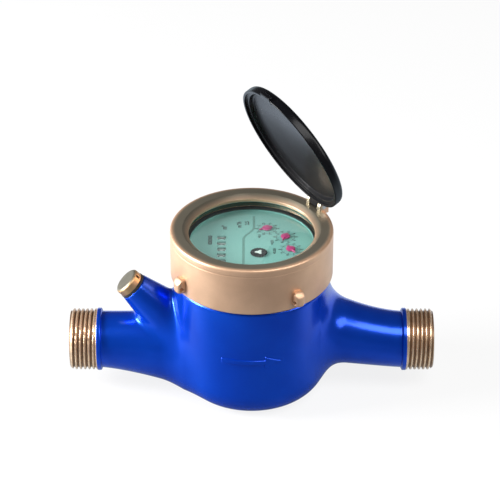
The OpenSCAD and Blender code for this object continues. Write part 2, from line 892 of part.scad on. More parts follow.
// Turned brass ring that screws over the bowl's spigot and clamps the register
module head_ring() {
    color("peru")
        difference() {
            union() {
                rotate_extrude()
                    difference() {
                        union() {
                            translate([sight_r, ring_z + 0.8])
                                square([ring_r - sight_r, ring_h - 2.3]);
                            translate([sight_r, ring_z])
                                square([ring_r - 0.8 - sight_r, ring_h]);
                            translate([ring_r - 1.5, ring_top - 1.5])
                                circle(r = 1.5);
                            polygon([[ring_r - 0.8, ring_z], [ring_r, ring_z + 0.8],
                                [ring_r - 0.8, ring_z + 0.8]]);
                        }
                        translate([0, ring_z - 1])
                            square([spigot_r + 0.15, spigot_z + 0.6 - ring_z + 1]);
                        translate([0, spigot_z])
                            square([glass_r + 0.4, lip_z - spigot_z]);
                        polygon([[sight_r - 1, lip_z + lip_t], [sight_r, lip_z + lip_t],
                            [sight_r + cone_w, ring_top], [sight_r + cone_w, ring_top + 1],
                            [sight_r - 1, ring_top + 1]]);
                        polygon([[ring_r + 1, ring_top - 4.6], [ring_r - 0.35, ring_top - 4],
                            [ring_r + 1, ring_top - 3.4]]);
                        translate([ring_r - 1.5, ring_top - 1.5])
                            difference() {
                                square([3, 3]);
                                circle(r = 1.5);
                            }
                    }
                for (i = [0 : 3])
                    rotate(hinge_a + i * 90)
                        translate([ring_r, lug_w / 2, ring_z + 2.5])
                            rotate([90, 0, 0])
                                linear_extrude(lug_w)
                                    polygon([[-2, 0], [lug_out, 0], [lug_out, 6], [lug_out - 2.2, 8.5],
                                        [-2, 8.5]]);
                for (s = [-1, 1])
                    at_hinge()
                        translate([0, s * (knuckle_w / 2 + 0.2 + ear_t / 2) - ear_t / 2, 0])
                            rotate([-90, 0, 0])
                                linear_extrude(ear_t)
                                    union() {
                                        circle(r = ear_r);
                                        translate([-ear_r, 0])
                                            square([2 * ear_r, hinge_z - ring_top + ear_foot]);
                                        translate([ring_r - 1.5 - hinge_rho, hinge_z - ring_top])
                                            square([hinge_rho + ear_r + 1.5 - ring_r, ear_foot]);
                                    }
            }
            for (i = [0 : 3])
                rotate(hinge_a + i * 90)
                    translate([ring_r + lug_out / 2, -lug_w, ring_z + 5.5])
                        rotate([-90, 0, 0])
                            cylinder(h = 2 * lug_w, r = 1);
            at_hinge() {
                translate([0, -20, 0])
                    rotate([-90, 0, 0])
                        cylinder(h = 40, r = pin_r);
                translate([0, -knuckle_w / 2 - 0.2, 0])
                    rotate([-90, 0, 0])
                        cylinder(h = knuckle_w + 0.4, r = ear_r + 0.1);
            }
        }
}

module hinge_pin() {
    color("silver")
        at_hinge()
            translate([0, -knuckle_w / 2 - 0.2 - ear_t, 0])
                rotate([-90, 0, 0])
                    cylinder(h = knuckle_w + 0.4 + 2 * ear_t, r = pin_r);
}

// Lid as it lies closed, hinge axis through the origin along Y
module lid_closed() {
    z0 = ring_top + 0.1 - hinge_z;
    difference() {
        union() {
            translate([-hinge_rho, 0, z0])
                rotate_extrude()
                    difference() {
                        union() {
                            square([lid_r, lid_h - 2.5]);
                            square([lid_r - 2.5, lid_h]);
                            translate([lid_r - 2.5, lid_h - 2.5])
                                circle(r = 2.5);
                        }
                        polygon([[-1, -1], [lid_r - 1.6, -1], [lid_r - 1.6, 1.4], [lid_r - 3.4, 1.7],
                            [lid_r - 4.2, lid_deep], [-1, lid_deep]]);
                    }
            translate([0, -knuckle_w / 2, 0])
                rotate([-90, 0, 0])
                    linear_extrude(knuckle_w)
                        union() {
                            circle(r = ear_r - 0.1);
                            translate([-6, 1.6 - lid_h - z0])
                                square([6, lid_h - 2.4]);
                        }
            translate([-hinge_rho - lid_r - 1.6, -4.5, z0])
                cube([3, 9, 2.2]);
        }
        translate([0, -20, 0])
            rotate([-90, 0, 0])
                cylinder(h = 40, r = pin_r + fit);
    }
}

module lid() {
    color("black")
        at_hinge()
            rotate([0, lid_open, 0])
                lid_closed();
}

module regulator_screw() {
    color("goldenrod")
        at_boss()
            translate([0, 0, -plug_deep - 16])
                difference() {
                    union() {
                        cylinder(h = 4, r1 = 1.2, r2 = 3 - fit);
                        translate([0, 0, 4])
                            cylinder(h = 11, r = 3 - fit);
                    }
                    translate([-4, -0.5, 13.5])
                        cube([8, 1, 3]);
                }
}

module plug_washer() {
    color("black")
        at_boss()
            difference() {
                cylinder(h = 1.2, r = boss_r - 0.2);
                translate([0, 0, -1])
                    cylinder(h = 4, r = plug_bore);
            }
}

// Screwed plug over the regulator, drilled for a sealing wire
module regulator_plug() {
    color("peru")
        at_boss()
            difference() {
                union() {
                    translate([0, 0, 1.2])
                        cylinder(h = 3.6, r = plug_r);
                    translate([0, 0, 4.8])
                        cylinder(h = 1, r1 = plug_r, r2 = plug_r - 1);
                    translate([0, 0, -plug_deep + 1])
                        cylinder(h = plug_deep + 1, r = plug_bore);
                }
                translate([-2 * plug_r, wire_y, wire_z])
                    rotate([0, 90, 0])
                        cylinder(h = 4 * plug_r, r = wire_r);
            }
}

body();
strainer();
chamber_gasket();
measuring_chamber();
pivot_pin();
impeller();
chamber_cover();
top_bush();
drive_magnet();
plate_seal();
pressure_plate();
register_cup();
shield_ring();
spindle();
driven_magnet();
base_plate();
arbor_j();
arbor_star();
arbor_k0();
arbor_p3();
arbor_k1();
arbor_p2();
arbor_k2();
arbor_p1();
count_idler();
count_drive();
drum_shaft();
carry_shaft();
drum_units();
drum_tens();
drum_hundreds();
drum_thousands();
drum_top();
count_crown();
carry_1();
carry_2();
carry_3();
carry_4();
dial_plate();
star_disc();
pointer_1();
pointer_2();
pointer_3();
glass_gasket();
glass();
slip_washer();
head_ring();
hinge_pin();
lid();
regulator_screw();
plug_washer();
regulator_plug();
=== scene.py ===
import bmesh
import bpy
import numpy as np
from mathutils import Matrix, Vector


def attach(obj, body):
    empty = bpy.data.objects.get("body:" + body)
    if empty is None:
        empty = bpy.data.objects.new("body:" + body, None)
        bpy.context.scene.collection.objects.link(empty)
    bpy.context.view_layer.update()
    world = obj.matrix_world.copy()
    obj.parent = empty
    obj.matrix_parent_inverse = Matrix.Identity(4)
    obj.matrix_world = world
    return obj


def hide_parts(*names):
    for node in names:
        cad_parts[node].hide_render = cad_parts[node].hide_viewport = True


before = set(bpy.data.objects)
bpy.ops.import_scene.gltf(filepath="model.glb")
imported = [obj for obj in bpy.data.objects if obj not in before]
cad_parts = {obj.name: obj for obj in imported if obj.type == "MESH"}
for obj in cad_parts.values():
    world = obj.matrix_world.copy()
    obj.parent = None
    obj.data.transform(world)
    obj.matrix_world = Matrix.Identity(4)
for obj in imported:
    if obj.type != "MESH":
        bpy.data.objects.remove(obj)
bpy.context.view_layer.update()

# Casting: bowl, both necks and the slanted regulator boss are poured as one hollow brass piece.
# Outside it is stove-enamelled a deep glossy blue, and the water ways inside stay bare metal.
# Every inside corner of the mould was filleted, so the forms run into each other.
AXIS_Z = 26.5
BOWL_R, BOWL_TOP, BOWL_TAPER, FOOT_R = 41.0, 69.0, 0.5, 16.5
NECK_R, NECK_END, NECK_FROM, NECK_LONG = 15.25, 83.0, 81.5, 45.0
INLET_SINK, INLET_TALL, INLET_WIDE = 5.5, 5.7, 5.0
OUTLET_RISE, OUTLET_TALL, OUTLET_WIDE = 10.0, 5.2, 4.0
INLET_POWER, RISE_POWER, TALL_POWER, WIDE_POWER = 1.3, 1.5, 1.9, 2.2
BOSS_X, BOSS_Z, BOSS_R, BOSS_LONG, BOSS_FLARE = -63.0, 60.1, 8.0, 36.0, 0.2067
SLANT, FLARE_COS = 0.70711, 0.979
SPIGOT_R, SPIGOT_FOOT, SPIGOT_TOP = 39.0, 60.0, 82.5
NECK_FILLET, BOSS_FILLET, BOWL_EDGE, BOSS_EDGE = 11.0, 4.5, 2.0, 0.8
CHANNEL_R, LOW_ROUND, LOW_FLOOR, LOW_TOP = 37.0, 11.0, 4.0, 29.5
WEB_R, WEB_Z, WEB_HALF = 29.0, 30.75, 3.0
TOP_Z, TOP_HALF, SLOPE_FROM, SLOPE_DEEP = 46.0, 14.0, 54.0, 4.5
PIT_R, PIT_FLOOR = 35.6, 59.5
BORE_R, BORE_FROM = 10.0, 56.0
WAY_R, WAY_OUT, WAY_IN, INLET_WAY_Z, OUTLET_WAY_Z = 9.5, 58.0, 30.0, 17.0, 44.5
PLUG_HOLE_R, PLUG_HOLE_OUT, PLUG_HOLE_DEEP = 5.0, 3.0, 4.9
REGULATOR_R, REGULATOR_X, REGULATOR_Z = 3.0, -42.0, 39.0
WALL_REACH = 0.15
DEEP_BLUE, LIT_BLUE, DUST_BLUE = (0.0012, 0.046, 0.48, 1), (0.002, 0.070, 0.62, 1), (0.02, 0.1, 0.55, 1)
CAST_DARK, CAST_PALE = (0.30, 0.19, 0.10, 1), (0.52, 0.34, 0.18, 1)


def melt(a, b, k):
    """Smooth least of two distances: where they differ by less than k, the smaller is drawn down on a
    parabola."""
    h = np.clip(0.5 + 0.5 * (b - a) / k, 0, 1)
    return b + (a - b) * h - k * h * (1 - h)


def pare(a, b, k):
    """Smooth greatest of two distances, the mirror of melt, which rounds the edge where two forms meet."""
    return -melt(-a, -b, k)


def rod(x, y, z, ax, az, bx, bz, r):
    """Distance to a round rod with ball ends between two points of the middle plane."""
    dx, dz = bx - ax, bz - az
    h = np.clip(((x - ax) * dx + (z - az) * dz) / (dx * dx + dz * dz), 0, 1)
    return np.sqrt((x - ax - h * dx) ** 2 + y * y + (z - az - h * dz) ** 2) - r


def casting_outside(x, y, z):
    """Distance to the outside: a bowl of revolution with a round foot, two necks of elliptical section whose
    centre and half axes follow powers of the way in from the collar, and a cone at 45 degrees, melted."""
    rho = np.hypot(x, y)
    bowl = np.hypot(np.maximum(rho - (BOWL_R - FOOT_R), 0), np.maximum(FOOT_R - z, 0)) - FOOT_R
    taper = BOWL_TAPER * np.clip((z - FOOT_R) / (BOWL_TOP - FOOT_R), 0, 1)
    bowl = pare(bowl - taper, z - BOWL_TOP, BOWL_EDGE)
    s = np.clip((NECK_FROM - np.abs(x)) / NECK_LONG, 0, 1)
    inlet = x < 0
    cz = AXIS_Z + np.where(inlet, -INLET_SINK * s ** INLET_POWER, OUTLET_RISE * s ** RISE_POWER)
    rz = NECK_R + np.where(inlet, INLET_TALL * s ** INLET_POWER, OUTLET_TALL * s ** TALL_POWER)
    ry = NECK_R + np.where(inlet, INLET_WIDE, OUTLET_WIDE) * s ** WIDE_POWER
    neck = (np.sqrt((y / ry) ** 2 + ((z - cz) / rz) ** 2) - 1) * np.minimum(ry, rz)
    neck = np.maximum(neck, np.abs(x) - NECK_END)
    t = (x - BOSS_X - z + BOSS_Z) * SLANT
    r = np.sqrt(np.maximum((x - BOSS_X) ** 2 + y * y + (z - BOSS_Z) ** 2 - t * t, 0))
    cone = (r - BOSS_R - BOSS_FLARE * t) * FLARE_COS
    boss = np.maximum(pare(cone, -t, BOSS_EDGE), t - BOSS_LONG)
    spigot = np.maximum(rho - SPIGOT_R, np.maximum(z - SPIGOT_TOP, SPIGOT_FOOT - z))
    shell = melt(melt(bowl, neck, NECK_FILLET), boss, BOSS_FILLET)
    return np.maximum(np.minimum(shell, spigot), -z)


def casting_inside(x, y, z):
    """Distance to the hollow: lower channel, hole in the web, upper channel, register pit, both bores with
    the slanting ways between bore and channel, and the stepped hole for the regulator."""
    rho = np.hypot(x, y)
    low = np.hypot(np.maximum(rho - (CHANNEL_R - LOW_ROUND), 0), np.maximum(LOW_FLOOR + LOW_ROUND - z, 0))
    low = np.maximum(low - LOW_ROUND, z - LOW_TOP)
    web = np.maximum(rho - WEB_R, np.abs(z - WEB_Z) - WEB_HALF)
    top = np.maximum(rho - CHANNEL_R + np.clip(z - SLOPE_FROM, 0, SLOPE_DEEP), np.abs(z - TOP_Z) - TOP_HALF)
    pit = np.maximum(rho - PIT_R, PIT_FLOOR - z)
    bore = np.maximum(np.hypot(y, z - AXIS_Z) - BORE_R, BORE_FROM - np.abs(x))
    way_in = rod(x, y, z, -WAY_OUT, AXIS_Z, -WAY_IN, INLET_WAY_Z, WAY_R)
    way_out = rod(x, y, z, WAY_OUT, AXIS_Z, WAY_IN, OUTLET_WAY_Z, WAY_R)
    plug_hole = rod(x, y, z, BOSS_X - PLUG_HOLE_OUT, BOSS_Z + PLUG_HOLE_OUT,
                    BOSS_X + PLUG_HOLE_DEEP, BOSS_Z - PLUG_HOLE_DEEP, PLUG_HOLE_R)
    regulator = rod(x, y, z, BOSS_X, BOSS_Z, REGULATOR_X, REGULATOR_Z, REGULATOR_R)
    return np.minimum.reduce([low, web, top, pit, bore, way_in, way_out, plug_hole, regulator])


def casting(x, y, z):
    """Distance to the metal: the outside less the hollow."""
    return np.maximum(casting_outside(x, y, z), -casting_inside(x, y, z))


def skin(field, low, high, step):
    """Surface where a field is zero. Each grid cell that it crosses gets one point, the mean of the
    crossings on its edges, and each crossed grid edge one quad of the four cells round it, wound by the
    field's sign. The points are then drawn on to the surface along the gradient, which also gives the
    normals."""
    axes = [np.arange(a, b + step, step) for a, b in zip(low, high)]
    v = field(*np.meshgrid(*axes, indexing="ij"))
    cells = tuple(n - 1 for n in v.shape)
    total, count = np.zeros(cells + (3,)), np.zeros(cells)
    crossed = []
    for d in range(3):
        a, b = np.take(v, range(cells[d]), d), np.take(v, range(1, cells[d] + 1), d)
        cut = (a < 0) != (b < 0)
        at = np.stack(np.meshgrid(*[g[:m] for g, m in zip(axes, a.shape)], indexing="ij"), -1)
        at[..., d] += step * np.where(cut, a / np.where(cut, a - b, 1), 0)
        crossed.append((cut, a < 0))
        p, q = [e for e in range(3) if e != d]
        for i in (0, 1):
            for j in (0, 1):
                part = [slice(None)] * 3
                part[p], part[q] = slice(i, i + cells[p]), slice(j, j + cells[q])
                total += np.where(cut[tuple(part)][..., None], at[tuple(part)], 0)
                count += cut[tuple(part)]
    kept = count > 0
    number = np.full(cells, -1)
    number[kept] = np.arange(kept.sum())
    points = total[kept] / count[kept][:, None]
    faces = []
    for d, (cut, rising) in enumerate(crossed):
        p, q = (d + 1) % 3, (d + 2) % 3
        edge = np.argwhere(cut)
        inside = (edge[:, p] > 0) & (edge[:, p] < cells[p]) & (edge[:, q] > 0) & (edge[:, q] < cells[q])
        edge = edge[inside]
        ring = []
        for i, j in ((1, 1), (0, 1), (0, 0), (1, 0)):
            c = edge.copy()
            c[:, p] -= i
            c[:, q] -= j
            ring.append(number[tuple(c.T)])
        ring = np.stack(ring, -1)
        up = rising[tuple(edge.T)]
        faces.append(np.where(up[:, None], ring, ring[:, ::-1]))
    probe = 0.02
    for turn in range(5):
        rise = [field(*(points + h).T) - field(*(points - h).T) for h in np.eye(3) * probe]
        normal = np.stack(rise, -1) / (2 * probe)
        size = np.maximum((normal ** 2).sum(-1, keepdims=True), 0.2)
        points = points - np.clip(field(*points.T)[:, None] * normal / size, -0.5 * step, 0.5 * step)
    return points, np.concatenate(faces), normal / np.sqrt(size)


def placed(name, data):
    """New object of this data, linked into the scene at the origin."""
    obj = bpy.data.objects.new(name, data)
    bpy.context.scene.collection.objects.link(obj)
    return obj


def piece(name, points, faces, body, slot, material, *stands_for, normals=None, sharp=None):
    """Mesh object at the origin from points in millimetres: doubles merged and faces turned outwards, unless
    its own normals come with it. Edges sharper than the angle sharp stay sharp."""
    mesh = bpy.data.meshes.new(name)
    mesh.from_pydata((np.asarray(points) * 0.001).tolist(), [], np.asarray(faces).tolist())
    if normals is None:
        b = bmesh.new()
        b.from_mesh(mesh)
        bmesh.ops.remove_doubles(b, verts=b.verts, dist=2e-6)
        bmesh.ops.recalc_face_normals(b, faces=b.faces)
        b.to_mesh(mesh)
        b.free()
    mesh.shade_smooth()
    if sharp is not None:
        mesh.set_sharp_from_angle(angle=np.radians(sharp))
    if normals is not None:
        mesh.normals_split_custom_set_from_vertices(normals.tolist())
    obj = placed(name, mesh)
    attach(obj, body)
    if stands_for:
        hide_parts(*stands_for)
    mesh.materials.append(material)
    return obj


class Wire:
    """A socket in a material. Arithmetic on it adds Math nodes, and add() makes any other node."""

    def __init__(self, tree, socket=None):
        self.tree, self.socket = tree, socket

    def add(self, kind, settings=None, sockets=None, out=0):
        """New node of a kind: its settings are set first, then each socket gets its value or link."""
        node = self.tree.nodes.new(kind)
        for key, value in (settings or {}).items():
            setattr(node, key, value)
        for key, value in (sockets or {}).items():
            if isinstance(value, Wire):
                self.tree.links.new(value.socket, node.inputs[key])
            else:
                node.inputs[key].default_value = value
        return Wire(self.tree, node.outputs[out])

    def sibling(self, out):
        """Another output of the node that this socket belongs to."""
        return Wire(self.tree, self.socket.node.outputs[out])

    def maths(self, how, a, b=0.0):
        """Math node of that operation on two wires or numbers."""
        return self.add("ShaderNodeMath", {"operation": how}, {0: a, 1: b})

    def __add__(self, other):
        return self.maths("ADD", self, other)

    def __sub__(self, other):
        return self.maths("SUBTRACT", self, other)

    def __mul__(self, other):
        return self.maths("MULTIPLY", self, other)

    def __rsub__(self, other):
        return self.maths("SUBTRACT", other, self)

    __radd__, __rmul__ = __add__, __mul__

    def vector(self, how, *others, out="Vector"):
        """Vector Math of this vector and any other; out is Value where the result is a number."""
        return self.add("ShaderNodeVectorMath", {"operation": how}, dict(enumerate((self, *others))), out)

    def between(self, low, high):
        """0 at low, 1 at high, straight between them and level beyond."""
        return self.add("ShaderNodeMapRange", {"clamp": True}, {0: self, 1: low, 2: high, 3: 0.0, 4: 1.0})

    def cloud(self, scale, detail=3.0):
        """Noise of about one bump to 1/scale metres, read at these coordinates."""
        return self.add("ShaderNodeTexNoise", None, {"Vector": self, "Scale": scale, "Detail": detail})

    def turning_marks(self, scale, waver):
        """Fine rings about Z, as a lathe tool leaves them, that waver a little."""
        return self.add("ShaderNodeTexWave", {"wave_type": "RINGS", "rings_direction": "Z"},
                        {"Vector": self, "Scale": scale, "Distortion": waver, "Detail": 2.0}, "Fac")

    def tint(self, dark, light):
        """Colour that goes from dark at 0 to light at 1."""
        return self.add("ShaderNodeMix", {"data_type": "RGBA"}, {0: self, 6: dark, 7: light}, 2)

    def relief(self, depth, strength):
        """Normal of a surface whose height in metres is this value times depth."""
        return self.add("ShaderNodeBump", None, {"Strength": strength, "Distance": depth, "Height": self})


def finish(name, **fixed):
    """Material with one Principled shader, its fixed values set on its sockets; gives it, the shader and
    Object coordinates."""
    m = bpy.data.materials.new(name)
    m.use_nodes = True
    shader = m.node_tree.nodes["Principled BSDF"]
    for key, value in fixed.items():
        shader.inputs[key.replace("_", " ")].default_value = value
    return m, shader, Wire(m.node_tree).add("ShaderNodeTexCoord", out="Object")


def feed(shader, **wires):
    """Links wires to the shader's sockets of those names."""
    for key, wire in wires.items():
        wire.tree.links.new(wire.socket, shader.inputs[key.replace("_", " ")])


enamel, shader, at = finish("blue_enamel", Specular_IOR_Level=0.2, Coat_Weight=0.26, Coat_Roughness=0.13)
open_metal = at.add("ShaderNodeAttribute", {"attribute_name": "bare"}, out="Fac").between(0.4, 0.6)
drift = at.cloud(28, 4.0)
dust = at.cloud(700, 2.0).between(0.62, 0.72) * at.cloud(60).between(0.5, 0.65)
blue = (dust * 0.25).tint(drift.between(0.3, 0.7).tint(DEEP_BLUE, LIT_BLUE), DUST_BLUE)
feed(shader, Base_Color=open_metal.tint(blue, at.cloud(900, 4.0).tint(CAST_DARK, CAST_PALE)),
     Metallic=open_metal * 0.4 + 0.6, Roughness=open_metal * 0.25 + (0.2 + drift * 0.08),
     Normal=(at.cloud(330, 2.0) + at.cloud(90, 2.0) * 1.5).relief(0.00009, 0.5))
points, faces, normals = skin(casting, low=(-84.2, -44, -1.6), high=(84.2, 44, 84), step=1.07)
shell = piece("casting", points, faces, "meter", "body_paint", enamel, "body", normals=normals)
bare = shell.data.attributes.new("bare", "FLOAT", "POINT")
bare.data.foreach_set("value", (np.abs(casting_inside(*points.T)) < WALL_REACH).astype(np.float32))

# Collars: a shoulder turned at the root of each pipe thread, which stops the union nut; it belongs to the
# casting and is enamelled with it, so its edge is the line where the blue ends.
COLLAR_R, COLLAR_NECK_R, COLLAR_HOLE_R = 16.85, 15.6, 13.0
COLLAR_BACK, COLLAR_FULL, COLLAR_EDGE = 80.4, 81.0, 0.35
ENDS = ((-1, "inlet"), (1, "outlet"))


def quads(rows, cols, across=True, along=True):
    """Quads between neighbouring rows and columns of a grid; the flags join the last row or column to the
    first."""
    i = np.arange(rows if across else rows - 1)[:, None]
    j = np.arange(cols if along else cols - 1)[None, :]
    k, l = (i + 1) % rows, (j + 1) % cols
    return np.stack([i * cols + j, k * cols + j, k * cols + l, i * cols + l], -1).reshape(-1, 4)


def rounded(corners, radius, steps=6):
    """Closed outline whose corners are replaced by quadratic curves from one radius before each to one
    after, though never more than 0.48 of the shorter side."""
    p = np.asarray(corners, float)
    back, on = np.roll(p, 1, 0) - p, np.roll(p, -1, 0) - p
    back_long, on_long = np.linalg.norm(back, axis=1), np.linalg.norm(on, axis=1)
    k = np.minimum(np.broadcast_to(radius, len(p)), 0.48 * np.minimum(back_long, on_long))[:, None]
    a, b = p + back / back_long[:, None] * k, p + on / on_long[:, None] * k
    t = np.linspace(0, 1, steps)[None, :, None]
    return ((1 - t) ** 2 * a[:, None] + 2 * t * (1 - t) * p[:, None] + t * t * b[:, None]).reshape(-1, 2)


def lathe(outline, turns, closed=True):
    """Surface of revolution about Z: the outline of radius and height carried round a list of angles."""
    a = np.asarray(turns)[:, None]
    r, h = outline[:, 0], outline[:, 1]
    grid = np.stack([r * np.cos(a), r * np.sin(a), h + 0 * a], -1)
    return grid.reshape(-1, 3), quads(len(a), len(outline), True, closed)


def whole_turn(n):
    """Angles of n even steps round a circle."""
    return np.arange(n) * 2 * np.pi / n


def along_pipe(points, side):
    """Turns a shape made about Z to lie about the pipe's axis, its Z along +X or -X."""
    x, y, z = points.T
    return np.stack([side * z, side * y, x], -1) + (0, 0, AXIS_Z)


outline = rounded([(COLLAR_HOLE_R, COLLAR_BACK), (COLLAR_NECK_R, COLLAR_BACK), (COLLAR_R, COLLAR_FULL),
                   (COLLAR_R, NECK_END), (COLLAR_HOLE_R, NECK_END)], COLLAR_EDGE)
points, faces = lathe(outline, whole_turn(160))
for side, end in ENDS:
    piece("collar_" + end, along_pipe(points, side), faces, "meter", "body_paint", enamel, sharp=50)

# Pipe threads: both ends are cut with a one-inch pipe thread, eleven turns to the inch, in the bare brass,
# with a chamfer to start the union nut and a face turned flat for its washer.
PITCH, DEPTH, CREST_R = 2.309, 1.48, 16.62
PIPE_END, THREAD_FROM, FADE_FROM, FADE_LONG = 97.5, 82.9, 83.2, 1.2
CHAMFER_FROM, CHAMFER_R, CHAMFER_SLOPE, END_EDGE = 96.0, 16.5, 0.95, 0.5
THREAD_FACE_R, THREAD_FLAT, BORE_ROW, LAST_CUT, ROW_STEP = 12.5, 0.15, 90.0, 0.2, 0.14
ROOT_BROWN, CREST_BRASS = (0.24, 0.14, 0.08, 1), (0.95, 0.68, 0.46, 1)


def eased(t):
    """Soft step from 0 to 1: three times t squared, less twice t cubed."""
    return t * t * (3 - 2 * t)


def pipe_thread(side):
    """Closed surface: along the outside the radius is the crest less a rounded triangle wave of the way
    along less the turn, faded out at the collar and held under a chamfer; then end face, bore and root
    face."""
    z = np.arange(THREAD_FROM, PIPE_END - LAST_CUT, ROW_STEP)
    z = np.concatenate([z, [PIPE_END - LAST_CUT, PIPE_END]])
    a = whole_turn(224)[:, None]
    wave = np.abs((z / PITCH - a / (2 * np.pi)) % 1 * 2 - 1)
    wave = eased(np.clip(wave * (1 + 2 * THREAD_FLAT) - THREAD_FLAT, 0, 1))
    r = CREST_R - DEPTH * wave * np.clip((z - FADE_FROM) / FADE_LONG, 0, 1)
    r = np.minimum(r, CHAMFER_R - np.maximum(z - CHAMFER_FROM, 0) * CHAMFER_SLOPE)
    inner = np.array([(THREAD_FACE_R, PIPE_END), (BORE_R + END_EDGE, PIPE_END),
                      (BORE_R, PIPE_END - END_EDGE), (BORE_R, BORE_ROW), (BORE_R, THREAD_FROM)])
    r = np.concatenate([r, np.broadcast_to(inner[:, 0], (len(a), len(inner)))], 1)
    h = np.broadcast_to(np.concatenate([z, inner[:, 1]]), r.shape)
    grid = np.stack([r * np.cos(a), r * np.sin(a), h], -1)
    return along_pipe(grid.reshape(-1, 3), side), quads(len(a), grid.shape[1])


thread_brass, shader, at = finish("cut_thread_brass", Metallic=0.75)
off_axis = at.vector("SUBTRACT", (0, 0, AXIS_Z * 0.001)).vector("MULTIPLY", (0, 1, 1))
crest = off_axis.vector("LENGTH", out="Value").between(0.0151, 0.0165)
grime = at.cloud(420, 4.0)
# Darker towards the thread roots: dark brown in the roots and pale brass on the crests, with a noise over
# it.
feed(shader, Base_Color=(crest * 0.8 + grime * 0.3).between(0.1, 0.95).tint(ROOT_BROWN, CREST_BRASS),
     Roughness=0.42 - crest * 0.18 + (grime - 0.5) * 0.2, Normal=at.cloud(2600, 2.0).relief(0.00004, 0.5))
for side, end in ENDS:
    points, faces = pipe_thread(side)
    piece("thread_" + end, points, faces, "meter", "brass", thread_brass, sharp=55)

# Flow arrow: cut into the mould, so it stands a little over half a millimetre proud on the front of the
# bowl, under the same enamel, which softens its edges.
ARROW_Z, ARROW_FACE_R, ARROW_HALF = 38.8, 41.212, 16.0
SHAFT_HALF, SHAFT_END, HEAD_FROM, HEAD_SLOPE, HEAD_COS = 1.4, 8.0, 7.0, 0.4, 0.93
ARROW_SUNK, ARROW_PROUD, ARROW_EDGE, ARROW_BACK = 0.5, 0.63, 0.65, 1.2
PATCH_HALF_LONG, PATCH_HALF_TALL = 17.0, 4.6


def flow_arrow():
    """Patch of the bowl's front over width and height, standing out by a soft step of the distance to a
    shaft and a head of falling half height, its border kept inside the casting."""
    x, z = np.meshgrid(np.linspace(-PATCH_HALF_LONG, PATCH_HALF_LONG, 190),
                       np.linspace(-PATCH_HALF_TALL, PATCH_HALF_TALL, 58), indexing="ij")
    shaft = np.maximum(np.abs(z) - SHAFT_HALF, np.maximum(-ARROW_HALF - x, x - SHAFT_END))
    head = (np.abs(z) - (ARROW_HALF - x) * HEAD_SLOPE) * HEAD_COS
    head = np.maximum(head, HEAD_FROM - x)
    step = eased(np.clip(0.5 - np.minimum(shaft, head) / ARROW_EDGE, 0, 1))
    out = -ARROW_SUNK + (ARROW_SUNK + ARROW_PROUD) * step
    face = np.stack([x, -np.sqrt((ARROW_FACE_R + out) ** 2 - x * x), z + ARROW_Z], -1)
    back = face + (0, ARROW_BACK, 0)
    n, m = x.shape
    front = quads(n, m, False, False)
    rim = np.concatenate([np.arange(m), np.arange(1, n) * m + m - 1,
                          (n - 1) * m + np.arange(m - 2, -1, -1), np.arange(n - 2, 0, -1) * m])
    wall = np.stack([rim, np.roll(rim, -1), np.roll(rim, -1) + n * m, rim + n * m], -1)
    points = np.concatenate([face.reshape(-1, 3), back.reshape(-1, 3)])
    return points, np.concatenate([front, front + n * m, wall])


points, faces = flow_arrow()
piece("flow_arrow", points, faces, "meter", "body_paint", enamel)

# Wet side: strainer basket, jet chamber, cover and impeller are plain ivory mouldings that drop into the
# bowl on a rubber gasket; a hard steel pin carries the impeller. The same ivory, rubber and steel serve for
# the washers, seals and shafts of the rest.
IVORY_DARK, IVORY_PALE = (0.66, 0.63, 0.53, 1), (0.80, 0.78, 0.69, 1)
RUBBER_BLACK, RUBBER_BLOOM = (0.012, 0.012, 0.013, 1), (0.05, 0.05, 0.052, 1)
STEEL_DARK, STEEL_PALE = (0.42, 0.42, 0.43, 1), (0.66, 0.65, 0.63, 1)


def dress(material, *names):
    """Gives CAD nodes this finish in place of their packed one."""
    for name in names:
        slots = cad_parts[name].data.materials
        slots.clear()
        slots.append(material)


def mottled(name, scale, dark, light, rough, swing, detail=3.0, grain=None, **fixed):
    """Plain finish: one noise runs the colour from dark to light and the roughness up from rough by swing.
    Where grain is given, it is the scale, detail, depth and strength of a noise that stands as relief."""
    material, shader, at = finish(name, **fixed)
    spread = at.cloud(scale, detail)
    feed(shader, Base_Color=spread.tint(dark, light), Roughness=rough + spread * swing)
    if grain:
        feed(shader, Normal=at.cloud(*grain[:2]).relief(*grain[2:]))
    return material


ivory, shader, at = finish("ivory_moulding", Subsurface_Weight=0.06,
                           Subsurface_Radius=(0.002, 0.0015, 0.001))
flow = at.cloud(55)
feed(shader, Base_Color=flow.between(0.3, 0.7).tint(IVORY_DARK, IVORY_PALE), Roughness=0.38 + flow * 0.15,
     Normal=at.cloud(1500, 2.0).relief(0.00003, 0.4))
dress(ivory, "strainer", "measuring_chamber", "chamber_cover", "impeller", "slip_washer")

rubber = mottled("black_rubber", 160, RUBBER_BLACK, RUBBER_BLOOM, rough=0.62, swing=0.2, detail=4.0,
                 grain=(2200, 3.0, 0.00004, 0.5), Specular_IOR_Level=0.35)
dress(rubber, "chamber_gasket", "plate_seal", "glass_gasket", "plug_washer")

steel, shader, at = finish("ground_steel", Metallic=1.0)
lay = at.add("ShaderNodeMapping", None, {"Vector": at, "Scale": (1, 1, 0.05)}).cloud(4200, 2.0)
feed(shader, Base_Color=lay.tint(STEEL_DARK, STEEL_PALE), Roughness=0.2 + lay * 0.2,
     Normal=lay.relief(0.00001, 0.3))
dress(steel, "pivot_pin", "spindle", "drum_shaft", "carry_shaft", "hinge_pin")

